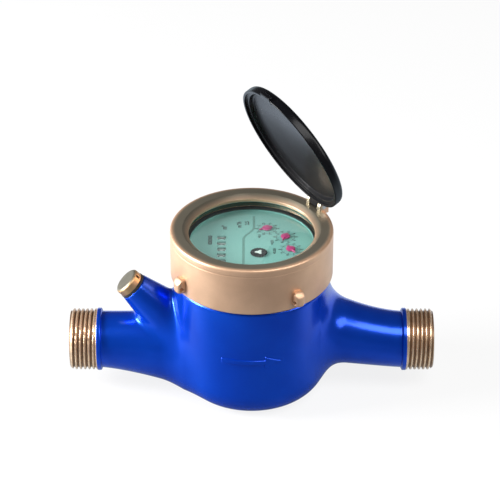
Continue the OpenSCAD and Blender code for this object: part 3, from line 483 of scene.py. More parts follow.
# Pressure plate: a turned brass disc on a rubber seal that keeps the water under the dry register; the
# impeller's bush and the regulator's screw are turned from the same brass. Two ring magnets turn together
# through the plate, inside a soft iron shield.
TURNED_DARK, TURNED_PALE = (0.46, 0.30, 0.14, 1), (0.66, 0.46, 0.24, 1)
FERRITE_DARK, FERRITE_PALE = (0.03, 0.03, 0.033, 1), (0.12, 0.12, 0.125, 1)
inner_brass, shader, at = finish("turned_brass", Metallic=1.0)
rings = at.turning_marks(1500.0, 0.6)
feed(shader, Base_Color=at.cloud(120).tint(TURNED_DARK, TURNED_PALE), Roughness=0.24 + rings * 0.12,
     Normal=rings.relief(0.00001, 0.4))
dress(inner_brass, "top_bush", "pressure_plate", "regulator_screw")

ferrite = mottled("sintered_ferrite", 1800, FERRITE_DARK, FERRITE_PALE, rough=0.45, swing=0.2, detail=4.0,
                  grain=(1800, 4.0, 0.00003, 0.5), Metallic=0.3)
dress(ferrite, "drive_magnet", "driven_magnet", "shield_ring")

# Movement: base plate, the wheels of the reduction train and the carry pinions are clean white acetal
# mouldings, pressed together without screws.
ACETAL_DARK, ACETAL_PALE = (0.72, 0.73, 0.71, 1), (0.84, 0.84, 0.82, 1)
acetal = mottled("white_acetal", 240, ACETAL_DARK, ACETAL_PALE, rough=0.28, swing=0.16,
                 grain=(3000, 2.0, 0.00002, 0.3), Subsurface_Weight=0.08,
                 Subsurface_Radius=(0.002, 0.002, 0.002))
dress(acetal, "base_plate", "arbor_j", "arbor_star", "arbor_k0", "arbor_p3", "arbor_k1", "arbor_p2",
      "arbor_k2", "arbor_p1", "count_idler", "count_drive", "count_crown",
      "carry_1", "carry_2", "carry_3", "carry_4")

# Number drums: five white mouldings loose on one steel shaft, each carried on by the one before it through a
# small pinion, with the figures 0 to 9 hot-stamped in black round the rim.
DRUM_X, DRUM_Y, DRUM_Z, DRUM_R, DRUM_PITCH = -15.9, 5.0, 79.1, 7.03, 5.8
FIGURE_TALL, FIGURE_WEIGHT, FIGURE_STRIPS, FONT_TALL = 4.3, 0.025, 9, 0.75
DRUMS = ("drum_units", "drum_tens", "drum_hundreds", "drum_thousands", "drum_top")
DRUM_DARK, DRUM_PALE = (0.70, 0.74, 0.73, 1), (0.80, 0.83, 0.81, 1)
INK_BLACK, INK_WORN = (0.010, 0.014, 0.016, 1), (0.035, 0.045, 0.048, 1)
dress(mottled("drum_white", 500, DRUM_DARK, DRUM_PALE, rough=0.36, swing=0.16,
              grain=(2600, 2.0, 0.00002, 0.3)), *DRUMS)
ink = mottled("black_ink", 2400, INK_BLACK, INK_WORN, rough=0.5, swing=0.2, Specular_IOR_Level=0.3)


def lettering(words, height, weight, strips=0):
    """Flat outline of some characters as a mesh, centred, of that height; strips is how many cuts across it
    let it bend."""
    curve = bpy.data.curves.new("lettering", "FONT")
    curve.body, curve.offset, curve.resolution_u = words, weight, 4
    text = placed("lettering", curve)
    bpy.context.view_layer.update()
    flat = text.to_mesh()
    b = bmesh.new()
    b.from_mesh(flat)
    text.to_mesh_clear()
    bpy.data.objects.remove(text)
    bmesh.ops.triangulate(b, faces=b.faces)
    for level in np.arange(1, strips + 1) * FONT_TALL / (strips + 1):
        bmesh.ops.bisect_plane(b, geom=b.verts[:] + b.edges[:] + b.faces[:], plane_co=(0, level, 0),
                               plane_no=(0, 1, 0))
    bmesh.ops.triangulate(b, faces=b.faces)
    flat = bpy.data.meshes.new("lettering")
    b.to_mesh(flat)
    b.free()
    p, f = np.zeros(len(flat.vertices) * 3), np.zeros(len(flat.loops), int)
    flat.vertices.foreach_get("co", p)
    flat.loops.foreach_get("vertex_index", f)
    p, f = p.reshape(-1, 3)[:, :2], f.reshape(-1, 3)
    bpy.data.meshes.remove(flat)
    bpy.data.curves.remove(curve)
    low, high = p.min(0), p.max(0)
    return (p - (low + high) / 2) * height / (high[1] - low[1]), f


def marks(name, parts, body, material):
    """Print on a surface as one open sheet of triangles, joined from marks that are each a pair of points
    and faces; its faces already look outwards."""
    starts = np.cumsum([0] + [len(p) for p, f in parts])
    points = np.concatenate([p for p, f in parts])
    faces = np.concatenate([f + n for n, (p, f) in zip(starts, parts)])
    mesh = bpy.data.meshes.new(name)
    mesh.from_pydata((points * 0.001).tolist(), [], faces.tolist())
    obj = placed(name, mesh)
    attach(obj, body)
    mesh.materials.append(material)


def stamped(figures, centre):
    """Figures bent round a drum: height on the figure becomes angle about the shaft, 36 degrees to a
    figure."""
    parts = []
    for n, (p, f) in enumerate(figures):
        turn = p[:, 1] / DRUM_R + np.radians(36 * n)
        x, z = DRUM_X - DRUM_R * np.sin(turn), DRUM_Z + DRUM_R * np.cos(turn)
        parts.append((np.stack([x, centre + p[:, 0], z], -1), f))
    return parts


figures = [lettering(str(n), FIGURE_TALL, FIGURE_WEIGHT, FIGURE_STRIPS) for n in range(10)]
for k, name in enumerate(DRUMS):
    parts = stamped(figures, DRUM_Y - DRUM_PITCH * k)
    marks(name.replace("drum", "figures"), parts, name, ink)

# Dial: a thin pale green plate over the movement, in a cup of the same colour, printed in black with the
# unit, the three small scales and their factors, and in grey with a line that parts the drums from the
# pointers.
PRINT_Z = 87.22
SCALE_R, TICK_R, FIGURES_R = 4.85, 4.0, 5.8
CIRCLE_WIDE, TICK_WIDE, LINE_WIDE = 0.2, 0.34, 1.3
SCALE_TALL, SCALE_WEIGHT, FACTOR_TALL, FACTOR_WEIGHT, UNIT_WEIGHT = 1.5, 0.05, 1.7, 0.04, 0.045
LINE_X, LINE_SHIFT, LINE_FROM, LINE_LONG = -4.3, 5.5, -22.0, 49.0
BEND_FROM, BEND_LONG = 0.52, 0.24
POINTERS = {"pointer_1": (8.09, 14.04), "pointer_2": (17.83, 5.65), "pointer_3": (20.45, -6.94)}
UNITS = (("m³", 3.0, -14.6, 15.3), ("m³/h", 2.6, -6.7, 18.2), ("2.5", 2.4, -2.5, 19.8),
         ("000000", 2.4, -21.9, 2.4))
FACTORS = (("×0.1", 4.0, 6.4), ("×0.01", 10.7, 0.2), ("×0.001", 11.9, -8.6))
MINT_DARK, MINT_PALE = (0.216, 0.419, 0.396, 1), (0.248, 0.465, 0.432, 1)
GREY_DARK, GREY_PALE = (0.10, 0.22, 0.20, 1), (0.16, 0.30, 0.27, 1)
mint, shader, at = finish("mint_dial", Specular_IOR_Level=0.3)
shade = at.cloud(45)
feed(shader, Base_Color=shade.between(0.3, 0.7).tint(MINT_DARK, MINT_PALE), Roughness=0.5 + shade * 0.15,
     Normal=at.cloud(2400, 2.0).relief(0.00002, 0.3))
dress(mint, "dial_plate", "register_cup")


def on_dial(mark, x, y):
    """Lays a mark on the dial with its reading direction along +Y and its top towards -X."""
    p, f = mark
    return np.stack([x - p[:, 1], y + p[:, 0], np.full(len(p), PRINT_Z)], -1), f


def band(path, width):
    """Flat line of a width along a path: each point moved half the width to either side of its way."""
    path = np.asarray(path, float)
    way = np.gradient(path, axis=0)
    side = np.stack([-way[:, 1], way[:, 0]], -1) / np.linalg.norm(way, axis=1)[:, None] * width / 2
    grid = np.stack([path - side, path + side], 1)
    points = np.concatenate([grid, np.full(grid.shape[:2] + (1,), PRINT_Z)], -1).reshape(-1, 3)
    q = quads(len(path), 2, False, False)
    return points, np.concatenate([q[:, [0, 1, 2]], q[:, [0, 2, 3]]])


def scale_round(x, y):
    """Small scale about a pointer: a thin circle, ten ticks and the figures 0 to 9 standing round it, from
    the side towards -X on."""
    ring = np.linspace(0, 2 * np.pi, 73)
    centre = np.array([x, y])
    parts = [band(centre + SCALE_R * np.stack([np.cos(ring), np.sin(ring)], -1), CIRCLE_WIDE)]
    for n in range(10):
        a = np.pi - n * np.pi / 5
        way = np.array([np.cos(a), np.sin(a)])
        parts.append(band([centre + TICK_R * way, centre + SCALE_R * way], TICK_WIDE))
        parts.append(on_dial(lettering(str(n), SCALE_TALL, SCALE_WEIGHT), *(centre + FIGURES_R * way)))
    return parts


parts = [on_dial(lettering(words, height, UNIT_WEIGHT), x, y) for words, height, x, y in UNITS]
for x, y in POINTERS.values():
    parts += scale_round(x, y)
parts += [on_dial(lettering(words, FACTOR_TALL, FACTOR_WEIGHT), x, y) for words, x, y in FACTORS]
marks("dial_print", parts, "meter", ink)

t = np.linspace(0, 1, 90)
bend = eased(np.clip((t - BEND_FROM) / BEND_LONG, 0, 1))
divider = np.stack([LINE_X + LINE_SHIFT * bend, LINE_FROM + LINE_LONG * t], -1)
grey_ink = mottled("grey_ink", 1200, GREY_DARK, GREY_PALE, rough=0.5, swing=0.2, Specular_IOR_Level=0.3)
marks("dial_line", [band(divider, LINE_WIDE)], "meter", grey_ink)

# Flow star and pointers: a small black toothed disc with a white three-cornered mark, which spins at the
# least flow, and three magenta pointers pressed on the arbors.
STAR_X, STAR_Y, STAR_MARK_R, STAR_MARK_Z = 3.744, -10.873, 2.2, 88.12
STAR_WAIST, STAR_POWER = 0.52, 2.2
POINTER_Z, TIP_R, TAIL_R, HUB_R, ARM_HALF = 87.5, 4.6, 3.0, 2.45, 1.2
TIP_TAPER, TAIL_TAPER = 0.2283, 0.1667
POINTER_TURNS = np.radians((205, 250, 300))
JET_DARK, JET_PALE = (0.004, 0.004, 0.005, 1), (0.012, 0.012, 0.014, 1)
WHITE_DARK, WHITE_PALE = (0.66, 0.68, 0.66, 1), (0.82, 0.83, 0.81, 1)
MAGENTA_DARK, MAGENTA_PALE = (0.42, 0.02, 0.13, 1), (0.52, 0.045, 0.20, 1)
jet_black = mottled("jet_black", 900, JET_DARK, JET_PALE, rough=0.6, swing=0.2, Specular_IOR_Level=0.1)
dress(jet_black, "star_disc")


def three_corners(n=60):
    """Flat star of three corners: the radius swings between a long and a short one three times a turn."""
    a = whole_turn(n)
    r = STAR_MARK_R * (STAR_WAIST + (1 - STAR_WAIST) * np.abs(np.cos(1.5 * a)) ** STAR_POWER)
    rim = np.stack([STAR_X + r * np.cos(a + np.pi), STAR_Y + r * np.sin(a + np.pi)], -1)
    flat = np.concatenate([rim, [[STAR_X, STAR_Y]]])
    fan = np.stack([np.full(n, n), np.arange(n), (np.arange(n) + 1) % n], -1)
    return np.concatenate([flat, np.full((n + 1, 1), STAR_MARK_Z)], 1), fan


white_ink = mottled("white_ink", 1800, WHITE_DARK, WHITE_PALE, rough=0.45, swing=0.2, Specular_IOR_Level=0.3)
marks("star_mark", [three_corners()], "star", white_ink)


def pointer(x, y, turn, n=120):
    """Moulded pointer: a hub and a tapering arm as one outline, its edge rounded over by shrinking copies
    that rise to the middle."""
    a = np.linspace(0, 2 * np.pi, n, endpoint=False)
    c, s, least = np.cos(a), np.abs(np.sin(a)), 1e-6
    tip = np.minimum(TIP_R / np.maximum(c, least), ARM_HALF / np.maximum(s + TIP_TAPER * c, least))
    tail = np.minimum(TAIL_R / np.maximum(-c, least), ARM_HALF / np.maximum(s - TAIL_TAPER * c, least))
    r = np.maximum(np.minimum(np.where(c > 0, tip, tail), TIP_R), HUB_R)
    rings = ((0 * r, 0.0), (r, 0.0), (r, 0.45), (r - 0.08, 0.6), (r - 0.35, 0.74), (r * 0.6, 0.92),
             (0 * r + 0.05, 1.0), (0 * r, 1.0))
    way_x, way_y = np.cos(a + turn), np.sin(a + turn)
    grid = np.stack([np.stack([x + k * way_x, y + k * way_y, 0 * k + POINTER_Z + up], -1)
                     for k, up in rings])
    return grid.reshape(-1, 3), quads(len(rings), n, False, True)


magenta = mottled("magenta_moulding", 700, MAGENTA_DARK, MAGENTA_PALE, rough=0.25, swing=0.15,
                  Coat_Weight=0.3, Coat_Roughness=0.1)
for (name, (x, y)), turn in zip(POINTERS.items(), POINTER_TURNS):
    points, faces = pointer(x, y, turn)
    piece(name + "_hand", points, faces, name, "pointer_red", magenta, name, sharp=40)

# Glass: a toughened disc 4 mm thick, laid on the gasket and clamped by the ring's lip over a slip washer;
# its faces are polished, and its ground edge is coloured dark green: partly the green of glass seen
# edgewise, partly painted shade at the back of the window. It is shown almost without bending light, so that
# the print under it appears where it was laid.
GLASS_R, GLASS_Z, GLASS_TOP, GLASS_EDGE = 35.6, 88.7, 92.7, 0.35
RIM_MARGIN, RIM_DEEP = 0.1, 0.6
GLASS_TINT, SHADOW_TINT = (0.94, 0.985, 0.97, 1), (0.9, 0.97, 0.95, 1)
EDGE_GREEN_AND_SHADE_DARK, EDGE_GREEN_AND_SHADE_PALE = (0.012, 0.055, 0.045, 1), (0.03, 0.11, 0.09, 1)


def blend(material, factor, shader, second):
    """Sends a mix of the material's own shader and a second one to its output."""
    tree = material.node_tree
    mixed = factor.add("ShaderNodeMixShader", None, {0: factor, 1: Wire(tree, shader.outputs[0]), 2: second})
    tree.links.new(mixed.socket, tree.nodes["Material Output"].inputs["Surface"])


clear, shader, at = finish("clear_glass", IOR=1.02, Transmission_Weight=1.0, Coat_Weight=0.8,
                           Coat_Roughness=0.0, Coat_IOR=1.5, Base_Color=GLASS_TINT)
feed(shader, Roughness=at.cloud(70).between(0.55, 0.9) * 0.03)
shadow = at.add("ShaderNodeLightPath", out="Is Shadow Ray")
through = shadow.maths("MAXIMUM", shadow, shadow.sibling("Is Diffuse Ray"))
blend(clear, through, shader, at.add("ShaderNodeBsdfTransparent", None, {"Color": SHADOW_TINT}))
outline = rounded([(0, GLASS_Z), (GLASS_R, GLASS_Z), (GLASS_R, GLASS_TOP), (0, GLASS_TOP)],
                  (0, GLASS_EDGE, GLASS_EDGE, 0))
# A corner on the axis comes as six equal points, of which one is kept.
points, faces = lathe(outline[5:-5], whole_turn(160), False)
pane = piece("window_glass", points, faces, "meter", "glass", clear, "glass", sharp=30)
# The edge's dark green is partly the glass's own edge colour and partly painted shade.
pane.data.materials.append(mottled("edge_green_and_painted_shade", 900, EDGE_GREEN_AND_SHADE_DARK, EDGE_GREEN_AND_SHADE_PALE, rough=0.4, swing=0.2,
                                   Specular_IOR_Level=0.3))
middle = np.zeros(len(pane.data.polygons) * 3)
pane.data.polygons.foreach_get("center", middle)
x, y, z = middle.reshape(-1, 3).T * 1000
edge_on = (z > GLASS_Z + RIM_MARGIN) & (z < GLASS_TOP - RIM_MARGIN)
rim_faces = edge_on & (np.hypot(x, y) > GLASS_R - RIM_DEEP)
pane.data.polygons.foreach_set("material_index", rim_faces.astype(np.int32))

# Head ring: turned from brass tube and blasted to a matt skin, with a smoother, greyer flat top, a bright
# rolled rim, a sloping face round the glass, a fine groove under the rim, four spanner lugs drilled for
# sealing wire and two ears for the lid's pin.
HINGE, HINGE_R, HINGE_Z = np.radians(33), 41.75, 98.9
SIGHT_R, CONE_R, RING_R, THROAT_R = 33.25, 36.35, 42.98, 36.0
RING_TOP, RING_FOOT, LIP_Z, CONE_Z, STEP_Z = 96.5, 69.5, 93.1, 94.4, 83.1
GROOVE_Z, GROOVE_HALF, GROOVE_DEEP, SPIGOT_FIT = 92.5, 0.6, 0.14, 0.15
RELIEF_R, RELIEF_HALF, RELIEF_REACH, RELIEF_DEEP = 3.1, 3.55, 2.1, 1.5
RING_BEVEL_TALL, RING_BEVEL_WIDE = 0.9, 0.88
RING_EDGES, RING_STEPS = (0.1, 0.2, 0.35, 2.6, 0.1, 0.2, 0.1, 0.4, 0.4, 0.2, 0.2, 0.2, 0.1), 8
FLAT_FROM, FLAT_TO, FLAT_ROWS = 36.9, 40.3, 12
LUG_R, LUG_HALF, LUG_FOOT, LUG_TOP, LUG_ROOT = 47.2, 3.0, 72.0, 80.5, 41.5
LUG_SLOPE_Z, LUG_SLOPE_OUT, LUG_SLOPE_UP, LUG_SLOPE_LONG = 78.0, 2.5, 2.2, 3.33
LUG_SIDE_ROUND, LUG_END_ROUND, LUG_SLOPE_ROUND = 2.4, 2.0, 0.8
WIRE_R, WIRE_OUT, WIRE_Z, WIRE_EDGE = 1.0, 45.1, 75.0, 0.3
EAR_R, EAR_FOOT, EAR_OFF, EAR_HALF, EAR_HOLE_R = 3.0, 4.2, 5.0, 1.5, 1.25
EAR_EDGE, PIN_HOLE_EDGE = 0.7, 0.15
BRASS_DARK, BRASS_PALE, BRASS_DULL = (0.62, 0.385, 0.245, 1), (0.82, 0.54, 0.355, 1), (0.37, 0.36, 0.285, 1)
brass, shader, at = finish("blasted_brass")
mid = at.cloud(60, 4.0)
fine = at.cloud(2300)
height = at.add("ShaderNodeSeparateXYZ", None, {0: at}, "Z")
radius = at.vector("MULTIPLY", (1, 1, 0)).vector("LENGTH", out="Value")
machined = height.between(0.0938, 0.0962) * radius.between(0.0418, 0.0402)
tone = (0.55 * mid.between(0.35, 0.7) + 0.45 * fine).tint(BRASS_DARK, BRASS_PALE)
turned = at.turning_marks(900.0, 0.8)
feed(shader, Base_Color=(machined * 0.85).tint(tone, BRASS_DULL), Metallic=0.72 + machined * 0.14,
     Roughness=0.47 - machined * 0.13 + (fine - 0.5) * 0.18 + (mid - 0.5) * 0.1,
     Normal=(fine * (1.0 - machined * 0.8) + turned * machined * 0.6).relief(0.00005, 0.5))
outline = rounded([(SIGHT_R, LIP_Z), (SIGHT_R, CONE_Z), (CONE_R, RING_TOP), (RING_R, RING_TOP),
                   (RING_R, GROOVE_Z + GROOVE_HALF), (RING_R - GROOVE_DEEP, GROOVE_Z),
                   (RING_R, GROOVE_Z - GROOVE_HALF), (RING_R, RING_FOOT + RING_BEVEL_TALL),
                   (RING_R - RING_BEVEL_WIDE, RING_FOOT),
                   (SPIGOT_R + SPIGOT_FIT, RING_FOOT), (SPIGOT_R + SPIGOT_FIT, STEP_Z), (THROAT_R, STEP_Z),
                   (THROAT_R, LIP_Z)], RING_EDGES, RING_STEPS)
level = np.stack([np.linspace(FLAT_FROM, FLAT_TO, FLAT_ROWS), np.full(FLAT_ROWS, RING_TOP)], -1)
third_corner = 3 * RING_STEPS
outline = np.concatenate([outline[:third_corner], level, outline[third_corner:]])
turns = np.unique(np.concatenate([whole_turn(220), HINGE + np.linspace(-0.11, 0.11, 45)]).round(5))
points, faces = lathe(outline, turns)
u = points[:, 0] * np.cos(HINGE) + points[:, 1] * np.sin(HINGE) - HINGE_R
v = points[:, 1] * np.cos(HINGE) - points[:, 0] * np.sin(HINGE)
dip = HINGE_Z - np.sqrt(np.maximum(RELIEF_R ** 2 - u * u, 0))
relieved = (np.abs(v) < RELIEF_HALF) & (np.abs(u) < RELIEF_REACH) & (points[:, 2] > RING_TOP - RELIEF_DEEP)
points[:, 2] = np.where(relieved, np.minimum(points[:, 2], dip), points[:, 2])
piece("head_ring_turned", points, faces, "meter", "brass", brass, "head_ring", sharp=35)


def lug(u, v, z):
    """Distance to a spanner lug: a block with a sloped top and rounded edges, less the hole for the wire."""
    plan = pare(u - LUG_R, np.abs(v) - LUG_HALF, LUG_SIDE_ROUND)
    block = pare(plan, pare(LUG_FOOT - z, z - LUG_TOP, LUG_END_ROUND), LUG_END_ROUND)
    slope = ((u - LUG_R) * LUG_SLOPE_OUT + (z - LUG_SLOPE_Z) * LUG_SLOPE_UP) / LUG_SLOPE_LONG
    block = np.maximum(pare(block, slope, LUG_SLOPE_ROUND), LUG_ROOT - u)
    return pare(block, WIRE_R - np.hypot(u - WIRE_OUT, z - WIRE_Z), WIRE_EDGE)


def ear(u, v, w):
    """Distance to both hinge ears: an arch on a block to either side of the knuckle, less the hole for the
    pin."""
    foot = np.maximum(np.abs(u) - EAR_R, np.maximum(w, -EAR_FOOT - w))
    arch = np.minimum(np.hypot(u, w) - EAR_R, foot)
    plates = pare(arch, np.abs(np.abs(v) - EAR_OFF) - EAR_HALF, EAR_EDGE)
    return pare(plates, EAR_HOLE_R - np.hypot(u, w), PIN_HOLE_EDGE)


def swung(points, angle):
    """Turns points about the dial axis."""
    x, y, z = points.T
    c, s = np.cos(angle), np.sin(angle)
    return np.stack([x * c - y * s, x * s + y * c, z], -1)


points, faces, normals = skin(lug, low=(41, -3.6, 71.3), high=(47.8, 3.6, 81.2), step=0.26)
for k in range(4):
    angle = HINGE + k * np.pi / 2
    piece("spanner_lug_%d" % (k + 1), swung(points, angle), faces, "meter", "brass", brass,
          normals=swung(normals, angle))
points, faces, normals = skin(ear, low=(-3.6, -7, -4.8), high=(3.6, 7, 3.6), step=0.26)
piece("hinge_ears", swung(points + (HINGE_R, 0, HINGE_Z), HINGE), faces, "meter", "brass", brass,
      normals=swung(normals, HINGE))

# Lid: a shallow cap moulded in polished black plastic, scuffed near the hinge, with a rolled edge, a knuckle
# between the ring's ears and a small lip to lift it by; it stands open, still leaning over the dial.
TILT = np.radians(66.5)
LID_R, LID_IN_R, LID_TALL, LID_WALL, LID_DROP = 37.62, 36.15, 5.75, 2.0, 2.3
LID_CLEAR, LID_REBATE, LID_SEAT_R, LID_SEAT_Z, LID_ROOM_R = 0.03, 1.4, 34.35, 1.7, 33.55
LID_EDGES, LID_STEPS = (0, 2.6, 0.5, 0.4, 0.3, 0.3, 0.8, 0), 9
KNUCKLE_R, KNUCKLE_HALF, KNUCKLE_HOLE_R, KNUCKLE_FILLET, KNUCKLE_EDGE = 2.9, 3.3, 1.3, 1.2, 0.5
KNUCKLE_ARM_HALF, KNUCKLE_ARM_Z, KNUCKLE_ARM_HALF_TALL = 3.0, 0.175, 1.675
TONGUE_OUT, TONGUE_IN, TONGUE_DROP = 81.1, 76.5, 1.2
TONGUE_HALF_WIDE, TONGUE_HALF_THICK, TONGUE_END_EDGE, TONGUE_EDGE = 4.5, 1.1, 1.0, 0.8
SCUFF_AT, SCUFF_FAR, SCUFF_NEAR = (0.035, 0.0227, 0.0989), 0.062, 0.03
LID_BLACK, LID_SPECK = (0.003, 0.003, 0.004, 1), (0.03, 0.03, 0.034, 1)
gloss_black, shader, at = finish("polished_black", Specular_IOR_Level=0.14, Coat_Weight=0.05,
                                 Coat_Roughness=0.08)
scuffed = at.vector("DISTANCE", SCUFF_AT, out="Value").between(SCUFF_FAR, SCUFF_NEAR)
specks = at.cloud(1500, 2.0).between(0.66, 0.74)
feed(shader, Base_Color=(specks * 0.4).tint(LID_BLACK, LID_SPECK),
     Roughness=0.19 + at.cloud(40, 4.0) * 0.12 + scuffed * 0.4,
     Normal=at.cloud(110, 2.0).relief(0.00006, 0.4))


def opened(points, place=True):
    """Turns points from the closed lid's frame, hinge axis along Y through the origin, to the lid as it
    stands."""
    x, y, z = points.T
    c, s = np.cos(TILT), np.sin(TILT)
    lifted = np.stack([x * c + z * s, y, z * c - x * s], -1)
    return swung(lifted + ((HINGE_R, 0, HINGE_Z) if place else 0), HINGE)


outline = rounded([(0, LID_TALL), (LID_R, LID_TALL - LID_CLEAR), (LID_R, LID_CLEAR), (LID_IN_R, LID_CLEAR),
                   (LID_IN_R, LID_REBATE), (LID_SEAT_R, LID_SEAT_Z), (LID_ROOM_R, LID_TALL - LID_WALL),
                   (0, LID_TALL - LID_WALL)], LID_EDGES, LID_STEPS)
points, faces = lathe(outline[LID_STEPS - 1:1 - LID_STEPS], whole_turn(200), False)
piece("lid_cap", opened(points - (HINGE_R, 0, LID_DROP)), faces, "lid", "lid_plastic", gloss_black, "lid",
      sharp=40)


def knuckle(x, y, z):
    """Distance to the lid's knuckle: a barrel and the arm that joins it to the cap, less the hole for the
    pin."""
    along = np.abs(x + KNUCKLE_ARM_HALF) - KNUCKLE_ARM_HALF
    arm = np.maximum(along, np.abs(z - KNUCKLE_ARM_Z) - KNUCKLE_ARM_HALF_TALL)
    form = melt(np.hypot(x, z) - KNUCKLE_R, arm, KNUCKLE_FILLET)
    form = pare(form, np.abs(y) - KNUCKLE_HALF, KNUCKLE_EDGE)
    return pare(form, KNUCKLE_HOLE_R - np.hypot(x, z), PIN_HOLE_EDGE)


def lip(x, y, z):
    """Distance to the lifting lip: a rounded tongue under the cap's edge, away from the hinge."""
    length = pare(-TONGUE_OUT - x, x + TONGUE_IN, TONGUE_END_EDGE)
    thickness = np.abs(z + TONGUE_DROP) - TONGUE_HALF_THICK
    section = pare(np.abs(y) - TONGUE_HALF_WIDE, thickness, TONGUE_EDGE)
    return pare(length, section, TONGUE_EDGE)


for name, field, low, high in (("lid_knuckle", knuckle, (-6.6, -3.9, -3.6), (3.6, 3.9, 3.6)),
                               ("lid_lip", lip, (-81.8, -5.2, -3), (-75.9, 5.2, 0.6))):
    points, faces, normals = skin(field, low, high, step=0.27)
    piece(name, opened(points), faces, "lid", "lid_plastic", gloss_black, normals=opened(normals, False))

# Regulator plug: a brass cap turned from bar and screwed into the boss on a rubber washer, over the
# regulator screw, and cross-drilled near its rim for a sealing wire; its end face is coloured dark grey,
# which is painted shade and a painted grey reflection on that face.
PLUG_R, PLUG_FOOT, PLUG_TOP, PLUG_CHAMFER = 7.5, 1.2, 5.8, 1.0
PLUG_EDGE, PLUG_FACE_EDGE = 0.3, 0.4
SHANK_R, SHANK_FOOT, SHANK_TOP = 5.0, -6.0, 3.0
SEAL_R, SEAL_Y, SEAL_Z, SEAL_EDGE = 0.9, -2.2, 3.6, 0.2
PLUG_BEVEL, PLUG_FACE_FROM, PLUG_FACE_TO = 0.707, 0.0921, 0.0926
SIDE_DARK, SIDE_PALE = (0.54, 0.33, 0.16, 1), (0.80, 0.54, 0.29, 1)
FACE_SHADE_DARK, FACE_SHADE_PALE = (0.19, 0.17, 0.13, 1), (0.28, 0.255, 0.20, 1)
plug_brass, shader, at = finish("plug_brass", Metallic=0.85)
rub = at.cloud(260, 4.0)
# Painted shade and reflection: the end face alone is coloured dark grey, and the side keeps its brass.
shaded_face = at.vector("DOT_PRODUCT", (-SLANT, 0, SLANT), out="Value").between(PLUG_FACE_FROM, PLUG_FACE_TO)
feed(shader, Base_Color=shaded_face.tint(rub.tint(SIDE_DARK, SIDE_PALE), rub.tint(FACE_SHADE_DARK, FACE_SHADE_PALE)),
     Roughness=0.36 + rub * 0.2, Normal=at.cloud(2000).relief(0.00004, 0.5))


def plug(x, y, z):
    """Distance to the plug in the boss's frame: a disc with a chamfered face and a shank, less the cross
    hole."""
    r = np.hypot(x, y)
    chamfer = (r - PLUG_R + z - (PLUG_TOP - PLUG_CHAMFER)) * PLUG_BEVEL
    side = pare(r - PLUG_R, PLUG_FOOT - z, PLUG_EDGE)
    head = pare(side, pare(z - PLUG_TOP, chamfer, PLUG_FACE_EDGE), PLUG_EDGE)
    shank = np.maximum(r - SHANK_R, np.maximum(SHANK_FOOT - z, z - SHANK_TOP))
    return pare(np.minimum(head, shank), SEAL_R - np.hypot(y - SEAL_Y, z - SEAL_Z), SEAL_EDGE)


def on_boss(points, place=True):
    """Turns points from the boss's frame, its axis along Z, to the slanted boss."""
    x, y, z = points.T
    c = np.sqrt(0.5)
    return np.stack([(x - z) * c, y, (x + z) * c], -1) + ((BOSS_X, 0, BOSS_Z) if place else 0)


points, faces, normals = skin(plug, low=(-8.2, -8.2, -6.7), high=(8.2, 8.2, 6.5), step=0.3)
piece("regulator_cap", on_boss(points), faces, "meter", "brass", plug_brass, "regulator_plug",
      normals=on_boss(normals, False))

# Stage: a plain pale floor that shows white to the camera; in reflections it is dark in front of the meter
# and paler beside and behind it. Soft boxes stand on the left, the right and the upper left, with a broad
# one over the front right, for a long lens that looks down at the meter.
FLOOR_HALF, FLOOR_GREY = 4, (0.65, 0.65, 0.65, 1)
FRONT_TONE, SIDE_TONE, BACK_TONE = (0.12, 0.15, 0.19, 1), (0.75, 0.90, 1.0, 1), (0.85, 0.98, 1.15, 1)
WHITE = (1, 1, 1, 1)
EYE, LOOKED_AT, FOCAL_LENGTH = (0, -1.0362, 0.7202), (-0.00092, 0.0267, 0.0664), 166.03
corners = [(sx * FLOOR_HALF, sy * FLOOR_HALF, 0) for sx, sy in ((-1, -1), (1, -1), (1, 1), (-1, 1))]
ground = bpy.data.meshes.new("floor")
ground.from_pydata(corners, [], [(0, 1, 2, 3)])
floor = placed("floor", ground)
pale, shader, at = finish("pale_floor", Base_Color=FLOOR_GREY, Roughness=0.8, Specular_IOR_Level=0.0)
path = at.add("ShaderNodeLightPath", out="Is Camera Ray")
mirrored = path.sibling("Is Glossy Ray")
seen = (path + path.sibling("Is Transmission Ray") + mirrored).between(0.0, 1.0)
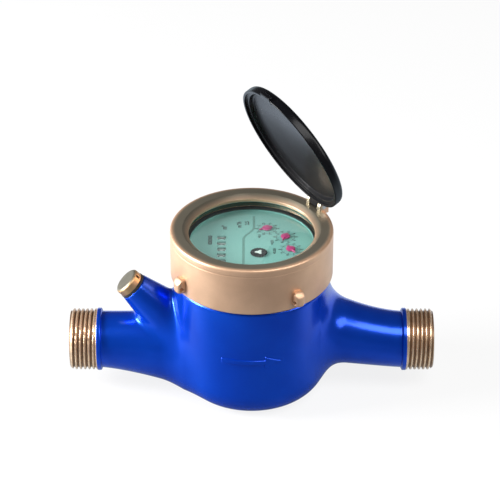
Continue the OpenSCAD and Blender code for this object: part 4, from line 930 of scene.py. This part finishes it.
across = at.add("ShaderNodeSeparateXYZ", None, {0: at}, "X")
away = across.sibling("Y")
behind = away.between(0.06, 0.14) * away.between(0.5, 0.25)
beside = across.maths("ABSOLUTE", across).between(0.04, 0.14) * away.between(-0.075, -0.035)
tone = mirrored.tint(WHITE, behind.tint(beside.tint(FRONT_TONE, SIDE_TONE), BACK_TONE))
glow = at.add("ShaderNodeEmission", None, {"Color": tone, "Strength": 1.06})
blend(pale, seen * 0.8 + mirrored * 0.15, shader, glow)
ground.materials.append(pale)

world = bpy.data.worlds.new("studio")
bpy.context.scene.world = world
world.use_nodes = True
back = world.node_tree.nodes["Background"]
path = Wire(world.node_tree).add("ShaderNodeLightPath", out="Is Camera Ray")
seen = (path + path.sibling("Is Transmission Ray")).between(0.0, 1.0)
feed(back, Strength=seen * 0.88 + 0.12 - path.sibling("Is Glossy Ray") * 0.02)
back.inputs["Color"].default_value = WHITE


def aimed(obj, place, target):
    """Puts a lamp or camera at a place in metres, facing a target."""
    obj.location = place
    obj.rotation_euler = (Vector(target) - Vector(place)).to_track_quat("-Z", "Y").to_euler()


def soft_box(name, place, target, width, height, watts):
    """Rectangular lamp at a place in metres, facing a target."""
    lamp = bpy.data.lights.new(name, "AREA")
    lamp.shape, lamp.size, lamp.size_y, lamp.energy = "RECTANGLE", width, height, watts
    aimed(placed(name, lamp), place, target)


soft_box("key_left", (-1.15, -0.12, 0.34), (0, 0, 0.05), width=0.5, height=0.6, watts=25)
soft_box("fill_right", (0.95, -0.42, 0.6), (0, 0, 0.05), width=0.45, height=0.6, watts=4.5)
soft_box("upper_left", (-0.95, -0.1, 0.58), (0, 0, 0.05), width=0.4, height=0.4, watts=11)
soft_box("front_strip", (0.42, -0.48, 0.95), (0.42, 0, 0.06), width=0.75, height=0.46, watts=7.2)

lens = bpy.data.cameras.new("camera")
lens.lens, lens.sensor_width = FOCAL_LENGTH, 36
eye = placed("camera", lens)
aimed(eye, EYE, LOOKED_AT)
bpy.context.scene.camera = eye
bpy.context.scene.view_settings.view_transform = "Standard"
